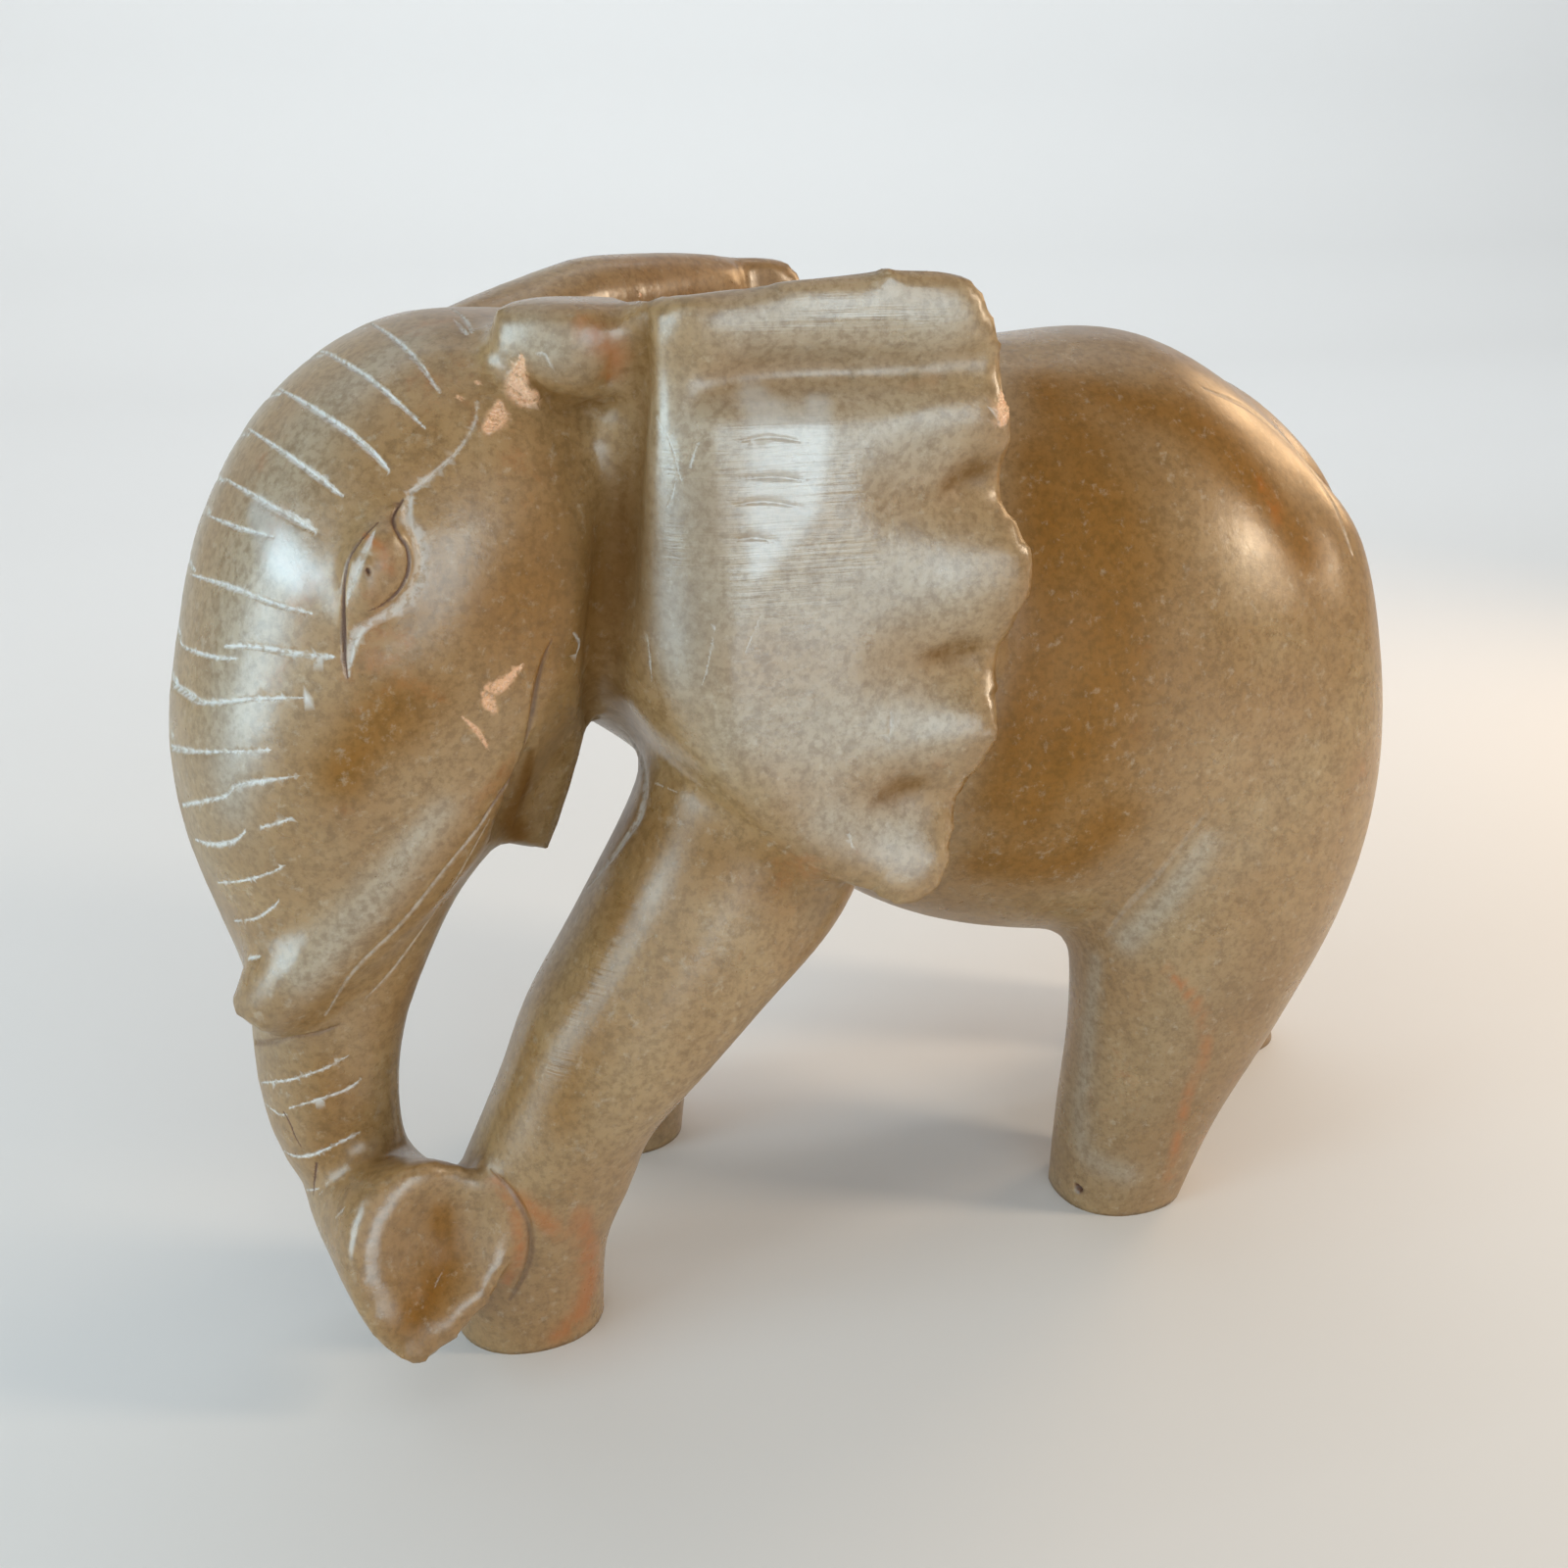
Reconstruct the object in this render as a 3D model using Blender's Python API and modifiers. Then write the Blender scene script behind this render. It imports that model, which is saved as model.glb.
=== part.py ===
# A walking elephant carved from one block of soapstone.
# +X points to the rump and +Z up: the head is at -X and the animal's left side at -Y.
# The figure keeps its pose and carving as shares of its height. Its plan is drawn in
# units of which PLAN_HEIGHT make the height, measured from a point on the ground under
# the belly, and the finished stone is moved to stand over the middle of its own box.

import math

import bmesh
import bpy
import numpy as np
from mathutils import Vector

# Driving dimensions, in metres
HEIGHT = 0.168
EAR_THICKNESS = 0.0044
TUSK_RADIUS = 0.0098

PLAN_HEIGHT = 168.0
UNIT = HEIGHT / PLAN_HEIGHT

# How finely the stone is worked
SIDES = 32  # corners of each section
STEPS = 5  # sections between two stations
KERF = 1.5 * UNIT  # cell of the mesh that fuses the forms
ROUGH_SANDING = 14  # passes that melt legs and neck into the body
FINE_SANDING = 5  # passes over the finished carving
TRIANGLES = 9200
SHARP = math.radians(55)  # edges bent by more than this, as round the soles, stay crisp

# How square the sections are: 2 is an oval, more is boxier and less is closer to a diamond
BODY_SQUARENESS = 2.15
LEG_SQUARENESS = 2.25
HEAD_SQUARENESS = 2.4
JAW_SQUARENESS = 3.2
TUSK_SQUARENESS = 1.5
KNOB_SQUARENESS = 1.35
RAMP_SQUARENESS = 2.2
EYE_SQUARENESS = 1.6

# Height of the rounded ends of the forms, as a share of their half width
DOME = 0.4
CRISP_DOME = 0.08

# Stations of the barrel of the body: x, top, belly, half width
BODY = [
    (-60, 142, 104, 18),
    (-46, 149, 94.5, 27),
    (-26, 151, 78, 34),
    (0, 152, 59, 38),
    (24, 155, 51, 41),
    (46, 155.2, 50, 42),
    (65, 146, 55, 39),
    (79, 132.5, 62, 31.5),
    (88.5, 115, 72, 21.5),
]
BODY_CREST = -0.10  # the barrel is narrower along the spine than at the belly

# Stations of each leg, from inside the body to below the ground:
# z, centre x, half length along x, centre y, half width
LEG_FRONT_LEFT = [
    (108, -26, 18, -22, 14),
    (92, -26.6, 19.6, -24, 17),
    (72, -35.6, 21.6, -25, 18),
    (58, -46.8, 19.3, -26, 17),
    (47, -54.2, 16.3, -26, 15.5),
    (37, -60.6, 14.1, -25, 14),
    (26, -64.4, 14.4, -23, 13.2),
    (14, -67, 12.8, -21, 12.7),
    (-6, -67.5, 12.3, -20, 12.1),
]
LEG_FRONT_RIGHT = [
    (108, -16, 20, 22, 14),
    (90, -14, 18.5, 23, 17),
    (70, -15.5, 17, 25, 17),
    (50, -21.5, 15, 27.5, 15),
    (30, -30, 13, 29.5, 13.5),
    (14, -36.5, 12.5, 30.5, 12.7),
    (-6, -39, 12.5, 31, 12.3),
]
LEG_HIND_LEFT = [
    (135, 56, 17, -14, 12),
    (122, 59.5, 23, -18, 16),
    (100, 60, 27, -21, 18.5),
    (78, 59.7, 27.5, -23, 19),
    (57, 57, 25.2, -24, 17.5),
    (35, 52.4, 19.4, -23.5, 15),
    (16, 47.3, 14.9, -22, 13),
    (-6, 43.6, 11.4, -20.5, 11),
]
LEG_HIND_RIGHT = [
    (135, 57, 18, 14, 12),
    (122, 62, 24, 18, 16),
    (100, 62, 27, 21, 19),
    (78, 65, 24, 22, 19),
    (57, 71, 20, 23, 16.5),
    (35, 80, 16.5, 24, 15),
    (16, 90, 14.5, 24, 13.5),
    (-6, 97, 13.5, 24, 12),
]

# The head and trunk in their own middle plane, turned by HEAD_TURN about the neck:
# front x and z, back x and z, half width across
HEAD_TURN = math.radians(14)
NECK = (-45, 0)
HEAD = [
    (-52, 161, -36, 136, 20),
    (-75.4, 161, -36, 125, 25.8),
    (-93.3, 150.8, -38, 119, 29),
    (-104.9, 134.6, -44, 112, 29.9),
    (-110.4, 118, -53, 104, 28.8),
    (-113.7, 103, -61, 95.5, 26),
    (-113.3, 89, -67, 86, 22.3),
    (-110.3, 76, -74.5, 77, 17.5),
    (-107.4, 64, -80.5, 66, 14.3),
    (-107.8, 53, -85, 55, 12.4),
    (-107.4, 42, -87, 43, 11.6),
    (-104.3, 30.3, -86.5, 33, 11),
    (-98.4, 22.2, -85, 25, 10),
]

# The trunk's tip bends to the left and ends in a shallow cup against the left forefoot:
# centre x, y, z, half width, half height
TRUNK_TIP = [
    (-92.8, -9, 28.5, 8.5, 10),
    (-91.2, -17, 26.8, 10, 11.4),
    (-88.6, -25, 25.8, 11.4, 13),
    (-86, -33, 24.4, 12.4, 15.0),
    (-85.0, -37.5, 24.3, 12.4, 15.4),
]
TRUNK_HEADING = (0.1, -0.6, -0.8)  # way of the trunk where the stub leaves it
CUP_LEAN = 0.36  # the cup's long axis leans back at the top
CUP_FACING = (0.12, -0.95, 0.3)
CUP_BOWL = 0.68  # size of the bowl as a share of the plate it is sunk in
CUP_SHIFT = (1.6, 2.6)  # the bowl lies off the plate's middle, towards the foot and up
CUP_DEPTH = 3.5
CUP_POINT = 0.35  # the plate narrows to a blunt point below
CUP_RINGS = (0.0, 0.35, 0.7, 0.9)  # rings down the bowl, as shares of the way to its bottom

# Rows of an ear from its top edge to its lower edge: root x, z and free edge x, z
EAR = [
    (-49, 164, -15.5, 168.1),
    (-51, 161.5, -4, 167),
    (-52, 155, 1.3, 159.6),
    (-52, 146, 4, 146.5),
    (-52, 136, 5.1, 135),
    (-52, 129, 7.6, 127),
    (-52, 122.5, 6.4, 118.5),
    (-52, 116, 4.1, 110.5),
    (-51, 110, 2.2, 100),
    (-49, 105, -2.2, 91.5),
    (-45, 99, -4.5, 84),
    (-39, 92.5, -8, 77.5),
    (-29, 85, -14, 77),
]
EAR_ROOT = 14  # distance of the root from the middle plane
EAR_FACE = 39.5  # distance of the face from the middle plane, where the root has rounded over
EAR_LEAN = 0.045  # the plate leans in towards its top by this much of each unit of height
EAR_LEAN_FROM = 105  # height above which it leans in, and below which it stands out
EAR_RIGHT_DROP = 2.0  # the right ear sits lower and reaches further back
EAR_RIGHT_REACH = 5
EAR_FLARE = 6.0  # how much further out the free edge stands
EAR_ROLL = 0.3  # share of a row that rounds over from root to face
EAR_SWELL = 1.5  # how much thicker the plate is at its root
EAR_FLUTES = ((138, 5.2), (113, 5.0), (92, 4.0))  # height and depth of each hollow in the free edge
EAR_FLUTE_START = 0.58  # share of the row where the hollows begin
EAR_FLUTE_WIDTH = 5.8
EAR_FLUTE_BACK = 0.45  # share of each hollow that shows on the back of the ear
EAR_FOLD = 154.5  # height of the valley under the upper band
EAR_FOLD_DEPTH = 3.8
EAR_FOLD_WIDTH = 3.2
EAR_FOLD_REACH = 0.8  # share of the row where the valley stops fading

# Tusks, in the head's plan: centre x, y, z and share of the radius. They have a ridge that
# faces outwards and a little up. The right one is slimmer and lies closer to the trunk.
TUSK_TILT = math.radians(25)
TUSK_LEFT = [
    (-69, -17, 110, 0.7),
    (-77.3, -18.0, 102, 0.88),
    (-84, -16.6, 92.8, 1.0),
    (-91, -14.6, 84.6, 1.02),
    (-97, -12.4, 77.6, 0.95),
    (-102, -10.8, 71.6, 0.84),
    (-106.2, -9.0, 65.8, 0.7),
    (-108.6, -7.6, 61.8, 0.58),
]
TUSK_RIGHT = [
    (-68, 16.5, 109, 0.6),
    (-78, 17, 99, 0.74),
    (-87, 15.5, 88, 0.74),
    (-94.5, 12, 78, 0.66),
    (-100, 9, 70, 0.54),
    (-102.5, 7, 65, 0.42),
]

# Lower jaw, in the head's plan: front x and z, back x and z, half width across
JAW = [
    (-77, 129, -46, 120, 22),
    (-76, 111, -53.5, 106, 20.5),
    (-75, 97, -57, 92.5, 17.5),
    (-74.5, 85.5, -61, 79.5, 14),
]

# Where the left ear meets the crown stands a knob, in the head's plan:
# z, centre x, half length along x, centre y, half width
KNOB = [
    (149.5, -59.5, 6, -18, 6),
    (152.5, -60.5, 9.2, -20, 9),
    (157, -61, 10.8, -21.4, 10),
    (161, -61, 10.8, -21.6, 10),
    (163.4, -60.6, 10.2, -21.2, 9.4),
]
# and on the right a low ramp runs up to the ear: x, y, z, half width, half height
RAMP = [
    (-67, 21, 149.4, 5, 6),
    (-60.5, 22.5, 152, 7.5, 7.3),
    (-52.5, 23.5, 154.4, 8.5, 7.5),
    (-44, 24, 156.6, 8.5, 7.8),
    (-34, 25, 159.1, 7.5, 7.8),
    (-24, 27, 160, 7, 7.2),
    (-12, 29, 160.8, 6, 6.2),
    (-2, 31, 160.6, 5, 5.5),
]

# Eyes, in the head's plan: centre x, y, z, slant, half length, half height and how far they
# stand out
EYE = (-92.3, 26.6, 131.2)
EYE_SLANT = math.radians(64)
EYE_LENGTH = 7.6
EYE_HEIGHT = 4.6
EYE_RELIEF = 3.1

# Tail in low relief down the rump: x, z, half width
TAIL = [
    (52, 150, 6),
    (62, 145.8, 8.5),
    (72, 140.6, 10.5),
    (82.5, 132, 11),
    (90, 122.3, 10),
    (94.3, 111, 8.5),
    (96.2, 98, 7),
    (95.2, 85, 6),
    (91.5, 74, 6),
    (87, 66, 5),
]
TAIL_RELIEF = 2.4
TAIL_DEPTH = 3.0  # how far its skirts reach into the rump
TAIL_SQUARENESS = 1.6


def smoothed(stations, steps=STEPS):
    """Rows of a smooth curve that passes through every station (a Catmull-Rom spline)."""
    rows = np.array(stations, float)
    padded = np.vstack([2 * rows[0] - rows[1], rows, 2 * rows[-1] - rows[-2]])
    t = (np.arange(steps) / steps)[:, None]
    made = []
    for before, start, end, after in zip(padded, padded[1:], padded[2:], padded[3:]):
        bend = 2 * before - 5 * start + 4 * end - after
        swing = 3 * start - before - 3 * end + after
        made.append(0.5 * (2 * start + (end - before) * t + bend * t**2 + swing * t**3))
    return np.vstack(made + [rows[-1:]])


def oval(centre, across, along, squareness=2.0, lean=0.0, point=0.0):
    """One section: a superellipse that may widen towards +along, or narrow to a point at -along."""
    angle = np.linspace(0, 2 * np.pi, SIDES, endpoint=False)
    c, s = np.cos(angle), np.sin(angle)
    u = np.sign(c) * abs(c) ** (2 / squareness)
    v = np.sign(s) * abs(s) ** (2 / squareness)
    u = u * (1 + lean * v) * (1 - point * np.clip(-v, 0, 1) ** 1.5)
    return np.array(centre, float) + np.outer(u, across) + np.outer(v, along)


def domed(sections, dome):
    """The sections with a low dome at each end."""
    ends = []
    for last, inner in ((sections[0], sections[1]), (sections[-1], sections[-2])):
        middle = last.mean(axis=0)
        out = middle - inner.mean(axis=0)
        spread = np.linalg.norm(last - middle, axis=1).min()
        out *= dome * spread / np.linalg.norm(out)
        ends.append([middle + (last - middle) * math.cos(t) + out * math.sin(t) for t in (0.5, 1.0, 1.35)])
    return ends[0][::-1] + list(sections) + ends[1]


def loft(sections, dome=DOME):
    """A closed body over sections with equal numbers of corners."""
    rings = domed(sections, dome) if dome else list(sections)
    mesh = bmesh.new()
    loops = [[mesh.verts.new(Vector(point) * UNIT) for point in ring] for ring in rings]
    count = len(loops[0])
    for low, high in zip(loops, loops[1:]):
        for i in range(count):
            j = (i + 1) % count
            mesh.faces.new((low[i], low[j], high[j], high[i]))
    mesh.faces.new(loops[0][::-1])
    mesh.faces.new(loops[-1])
    bmesh.ops.recalc_face_normals(mesh, faces=mesh.faces)
    return mesh


def turned(x, y, z):
    """A point of the head's plan, turned about the neck."""
    dx, dy = x - NECK[0], y - NECK[1]
    c, s = math.cos(HEAD_TURN), math.sin(HEAD_TURN)
    return np.array((NECK[0] + dx * c - dy * s, NECK[1] + dx * s + dy * c, z))


def barrel():
    sections = []
    for x, top, belly, half in smoothed(BODY):
        centre = (x, 0, (top + belly) / 2)
        sections.append(oval(centre, (0, half, 0), (0, 0, (top - belly) / 2), BODY_SQUARENESS, BODY_CREST))
    return loft(sections)


def upright(stations, squareness):
    """Level sections up a leg or a knob."""
    sections = []
    for z, x, half_x, y, half_y in smoothed(stations):
        sections.append(oval((x, y, z), (half_x, 0, 0), (0, half_y, 0), squareness))
    return sections


def leg(stations):
    return loft(upright(stations, LEG_SQUARENESS))


def knob():
    rings = upright(KNOB, KNOB_SQUARENESS)
    return loft([np.array([turned(*point) for point in ring]) for ring in rings], CRISP_DOME)


def across_head(stations, squareness):
    """Sections of a form that is alike on both sides of the head's middle plane."""
    side = turned(NECK[0], 1, 0) - turned(NECK[0], 0, 0)
    sections = []
    for front_x, front_z, back_x, back_z, half in smoothed(stations):
        front, back = turned(front_x, 0, front_z), turned(back_x, 0, back_z)
        sections.append(oval((front + back) / 2, side * half, (front - back) / 2, squareness))
    return sections


def head():
    return loft(across_head(HEAD, HEAD_SQUARENESS))


def jaw():
    return loft(across_head(JAW, JAW_SQUARENESS), CRISP_DOME)


def trunk_tip():
    """A stub that swings from the trunk to its cup, with the sections turning to face it."""
    facing = np.array(CUP_FACING) / np.linalg.norm(CUP_FACING)
    rows = smoothed(TRUNK_TIP)
    sections = []
    for i, (x, y, z, half, tall) in enumerate(rows):
        share = i / (len(rows) - 1)
        ahead = (1 - share) * np.array(TRUNK_HEADING) + share * facing
        ahead /= np.linalg.norm(ahead)
        up = np.array((CUP_LEAN * share, 0, 1))
        up -= ahead * (ahead @ up)
        up /= np.linalg.norm(up)
        across = np.cross(ahead, up)
        sections.append(oval((x, y, z), across * half, up * tall, 2.0, 0, CUP_POINT * share))
    rim = sections[-1]
    middle = rim.mean(axis=0)
    bowl = middle - across * CUP_SHIFT[0] + up * CUP_SHIFT[1]
    for share in CUP_RINGS:
        swing = share * math.pi / 2
        inner = CUP_BOWL * math.cos(swing)
        sections.append(bowl + (rim - middle) * inner - facing * CUP_DEPTH * math.sin(swing))
    return loft(sections, dome=0)


def bell(distance, width):
    return np.exp(-((distance / width) ** 2))


def ear(side):
    """A thin plate whose rows run from the root to the free edge: rounded over at the root,
    folded under its upper band and fluted along the free edge."""
    share = np.linspace(0, 1, 25) ** 0.9
    roll = np.clip(share / EAR_ROLL, 0, 1)
    sections = []
    drop = EAR_RIGHT_DROP if side > 0 else 0
    reach = EAR_RIGHT_REACH if side > 0 else 0
    for root_x, root_z, edge_x, edge_z in smoothed(EAR):
        x = root_x + (edge_x + reach - root_x) * share
        z = root_z + (edge_z - root_z) * share - drop
        face = EAR_ROOT + (EAR_FACE - EAR_ROOT) * np.sqrt(roll * (2 - roll)) + EAR_FLARE * share
        fading = np.sin(np.pi * np.clip(share, 0, EAR_FOLD_REACH))
        face -= EAR_FOLD_DEPTH * fading * bell(z - EAR_FOLD, EAR_FOLD_WIDTH)
        face -= EAR_LEAN * (z - EAR_LEAN_FROM) * roll
        rise = np.clip((share - EAR_FLUTE_START) / (1 - EAR_FLUTE_START), 0, 1)
        hollow = sum(depth * bell(z - height, EAR_FLUTE_WIDTH) for height, depth in EAR_FLUTES) * rise
        thick = EAR_THICKNESS / UNIT * (1 + EAR_SWELL * (1 - share) ** 3)
        front = np.stack([x, side * (face + thick / 2 - hollow), z], axis=1)
        back = np.stack([x, side * (face - thick / 2 - hollow * EAR_FLUTE_BACK), z], axis=1)
        sections.append(np.vstack([front, back[::-1]]))
    return loft(sections, dome=0)


def directions(path):
    """Unit vectors along a path of points."""
    ahead = np.gradient(path, axis=0)
    return ahead / np.linalg.norm(ahead, axis=1)[:, None]


def tusk(stations, side):
    rows = smoothed(stations)
    sections = []
    for centre, ahead, share in zip(rows[:, :3], directions(rows[:, :3]), rows[:, 3]):
        radius = TUSK_RADIUS / UNIT * share
        below = np.cross(ahead, (0, 1, 0))
        below /= np.linalg.norm(below)
        ridge = np.array((0, side, 0)) * math.cos(TUSK_TILT) - below * math.sin(TUSK_TILT)
        ring = oval(centre, np.cross(ahead, ridge) * radius, ridge * radius, TUSK_SQUARENESS)
        sections.append(np.array([turned(*point) for point in ring]))
    return loft(sections, CRISP_DOME)


def ramp():
    sections = []
    for x, y, z, half_y, half_z in smoothed(RAMP, 3):
        ring = oval((x, y, z), (0, half_y, 0), (0, 0, half_z), RAMP_SQUARENESS)
        sections.append(np.array([turned(*point) for point in ring]))
    return loft(sections)


def eye(side):
    """An almond that stands out of the temple, with its long axis slanting down and forward."""
    centre = np.array((EYE[0], side * EYE[1], EYE[2]))
    long = np.array((math.cos(EYE_SLANT), 0, math.sin(EYE_SLANT))) * EYE_LENGTH
    short = np.array((-math.sin(EYE_SLANT), 0, math.cos(EYE_SLANT))) * EYE_HEIGHT
    sections = []
    for rise in (-1, -0.4, 0.2, 0.6, 0.9):
        width = math.sqrt(1 - rise**2 * 0.9)
        out = np.array((0, side * rise * EYE_RELIEF, 0))
        ring = oval(centre + out, long * width, short * width, EYE_SQUARENESS)
        sections.append(np.array([turned(*point) for point in ring]))
    return loft(sections, dome=0)


def tail():
    rows = smoothed(TAIL)
    path = np.stack([rows[:, 0], np.zeros(len(rows)), rows[:, 1]], axis=1)
    sections = []
    for centre, ahead, half in zip(path, directions(path), rows[:, 2]):
        out = np.cross(ahead, (0, 1, 0))
        rise = out * (TAIL_RELIEF + TAIL_DEPTH)
        sections.append(oval(centre - out * TAIL_DEPTH, (0, half, 0), rise, TAIL_SQUARENESS))
    return loft(sections)


def joined(name, meshes):
    """One object from several closed bodies, which may overlap."""
    whole = bmesh.new()
    for mesh in meshes:
        data = bpy.data.meshes.new("form")
        mesh.to_mesh(data)
        mesh.free()
        whole.from_mesh(data)
        bpy.data.meshes.remove(data)
    data = bpy.data.meshes.new(name)
    whole.to_mesh(data)
    whole.free()
    obj = bpy.data.objects.new(name, data)
    bpy.context.scene.collection.objects.link(obj)
    return obj


def worked(obj):
    """The mesh of the object with its modifiers carried out. The object is used up."""
    bpy.context.view_layer.update()
    graph = bpy.context.evaluated_depsgraph_get()
    data = bpy.data.meshes.new_from_object(obj.evaluated_get(graph))
    bpy.data.objects.remove(obj)
    mesh = bmesh.new()
    mesh.from_mesh(data)
    bpy.data.meshes.remove(data)
    return mesh


def fused(obj, passes):
    """The object's bodies fused into one skin and sanded."""
    fuse = obj.modifiers.new("fuse", "REMESH")
    fuse.mode = "VOXEL"
    fuse.voxel_size = KERF
    sand = obj.modifiers.new("sand", "SMOOTH")
    sand.factor = 0.5
    sand.iterations = passes
    return obj


def flat_soles(mesh):
    """Cut the feet off flat at the ground."""
    whole = list(mesh.verts) + list(mesh.edges) + list(mesh.faces)
    cut = bmesh.ops.bisect_plane(
        mesh, geom=whole, dist=UNIT * 0.01, plane_co=(0, 0, 0), plane_no=(0, 0, -1), clear_outer=True
    )
    rim = [item for item in cut["geom_cut"] if isinstance(item, bmesh.types.BMEdge)]
    bmesh.ops.holes_fill(mesh, edges=rim)


def stone():
    material = bpy.data.materials.new("soapstone")
    material.use_nodes = True
    shader = material.node_tree.nodes["Principled BSDF"]
    shader.inputs["Base Color"].default_value = (0.42, 0.34, 0.25, 1)
    shader.inputs["Roughness"].default_value = 0.36
    shader.inputs["Metallic"].default_value = 0.0
    return material


def main():
    for old in list(bpy.data.objects):
        bpy.data.objects.remove(old)
    legs = [leg(s) for s in (LEG_FRONT_LEFT, LEG_FRONT_RIGHT, LEG_HIND_LEFT, LEG_HIND_RIGHT)]
    rough = worked(fused(joined("rough", [barrel(), head(), *legs]), ROUGH_SANDING))
    carving = [trunk_tip(), jaw(), tail(), tusk(TUSK_LEFT, -1), tusk(TUSK_RIGHT, 1), knob(), ramp()]
    for side in (-1, 1):
        carving += [ear(side), eye(side)]
    figure = worked(fused(joined("figure", [rough, *carving]), FINE_SANDING))

    coarse = bpy.data.meshes.new("figure")
    figure.to_mesh(coarse)
    count = sum(len(face.verts) - 2 for face in figure.faces)
    figure.free()
    obj = bpy.data.objects.new("figure", coarse)
    bpy.context.scene.collection.objects.link(obj)
    thin = obj.modifiers.new("facets", "DECIMATE")
    thin.ratio = TRIANGLES / count
    mesh = worked(obj)
    flat_soles(mesh)
    corners = np.array([vert.co for vert in mesh.verts])
    middle = (corners.min(axis=0) + corners.max(axis=0)) / 2

    data = bpy.data.meshes.new("elephant")
    mesh.to_mesh(data)
    mesh.free()
    data.shade_smooth()
    data.set_sharp_from_angle(angle=SHARP)
    data.materials.append(stone())
    elephant = bpy.data.objects.new("elephant", data)
    elephant.location = (-middle[0], -middle[1], 0)
    collection = bpy.data.collections.new("soapstone elephant")
    bpy.context.scene.collection.children.link(collection)
    collection.objects.link(elephant)


main()
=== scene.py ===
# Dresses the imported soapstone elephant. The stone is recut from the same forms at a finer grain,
# then gets its chisel cuts, eye, chips, drilled hole, polish and rust stains, with painted shade in its
# hollows and on its sides away from the window and painted sheen and reflection where the window falls,
# on a pale floor between a cool window and a warm lamp.

import math

import bmesh
import bpy
import numpy as np
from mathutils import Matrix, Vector
from mathutils.bvhtree import BVHTree


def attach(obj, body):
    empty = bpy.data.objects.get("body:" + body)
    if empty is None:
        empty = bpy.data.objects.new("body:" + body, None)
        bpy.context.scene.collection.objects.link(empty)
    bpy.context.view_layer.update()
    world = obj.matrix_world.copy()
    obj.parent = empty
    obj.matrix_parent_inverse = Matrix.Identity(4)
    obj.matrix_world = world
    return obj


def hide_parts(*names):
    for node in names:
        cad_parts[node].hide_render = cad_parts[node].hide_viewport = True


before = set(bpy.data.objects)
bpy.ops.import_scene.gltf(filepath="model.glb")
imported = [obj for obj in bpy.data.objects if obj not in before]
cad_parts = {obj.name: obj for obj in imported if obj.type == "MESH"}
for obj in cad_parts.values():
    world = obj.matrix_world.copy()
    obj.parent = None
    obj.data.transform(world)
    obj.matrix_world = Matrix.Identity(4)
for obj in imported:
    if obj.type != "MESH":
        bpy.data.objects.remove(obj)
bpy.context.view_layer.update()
mm = 0.001
print("frame loaded")


# where the phone stood
view = {
    "spot": (-106.0, -257.4, 180.0),  # mm
    "turn": -20.0,  # degrees to the left of straight at the animal's side
    "tilt": 20.0,  # degrees down
    "angle": 50.0,  # degrees across the picture
    "half": 800,  # half the picture's side, in the photograph's pixels
}


def cameraAxes():
    # right, up and back of the camera, from its turn and tilt
    turn, tilt = math.radians(view["turn"]), math.radians(view["tilt"])
    back = np.array((math.sin(turn) * math.cos(tilt), -math.cos(turn) * math.cos(tilt), math.sin(tilt)))
    right = np.array((math.cos(turn), math.sin(turn), 0))
    return right, np.cross(back, right), back


def throughPixels(pixels):
    # direction of the ray through each pixel: forwards, plus right and up by the pixel's offset
    right, up, back = cameraAxes()
    focal = view["half"] / math.tan(math.radians(view["angle"] / 2))
    offset = (np.array(pixels, float) - view["half"]) / focal
    rays = -back + offset[:, :1] * right - offset[:, 1:] * up
    return rays / np.linalg.norm(rays, axis=1)[:, None]


def placed(name, data):
    # a new object in the scene
    thing = bpy.data.objects.new(name, data)
    bpy.context.scene.collection.objects.link(thing)
    return thing


def addCamera():
    data = bpy.data.cameras.new("camera")
    data.lens_unit = "FOV"
    data.angle = math.radians(view["angle"])
    data.clip_start = 0.01
    camera = placed("camera", data)
    camera.location = Vector(view["spot"]) * mm
    camera.rotation_euler = (math.radians(90 - view["tilt"]), 0, math.radians(view["turn"]))
    bpy.context.scene.camera = camera


addCamera()
print("camera placed")

# how finely the stone is worked out. The forms below are in mm, and their stations repeat the solid's own
grain = {
    "sides": 48,  # points around a section
    "steps": 8,  # sections from one station to the next
    "roughCell": 1.5,  # mm, where body, head and legs run together
    "cell": 1.75,  # mm, where the carving is added
    "roughPasses": 14,  # sandings of the rough body
    "finePasses": 5,  # sandings of the whole
    "sanding": 0.5,  # how far a pass moves a point to the mean of its neighbours
}

# 2 is an ellipse, more is squarer and less is nearer a diamond
squareness = {
    "barrel": 2.15, "leg": 2.25, "head": 2.4, "jaw": 3.2, "tusk": 1.5, "knob": 1.35, "ramp": 2.2, "eye": 1.6,
    "tail": 1.6,
}

domes = {
    "rings": (0.5, 1.0, 1.35),  # how far over the end each ring lies, in radians
    "round": 0.4,  # height as a share of the end's radius
    "crisp": 0.08,
}
taper = 1.5  # how suddenly a pointed section narrows


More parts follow.
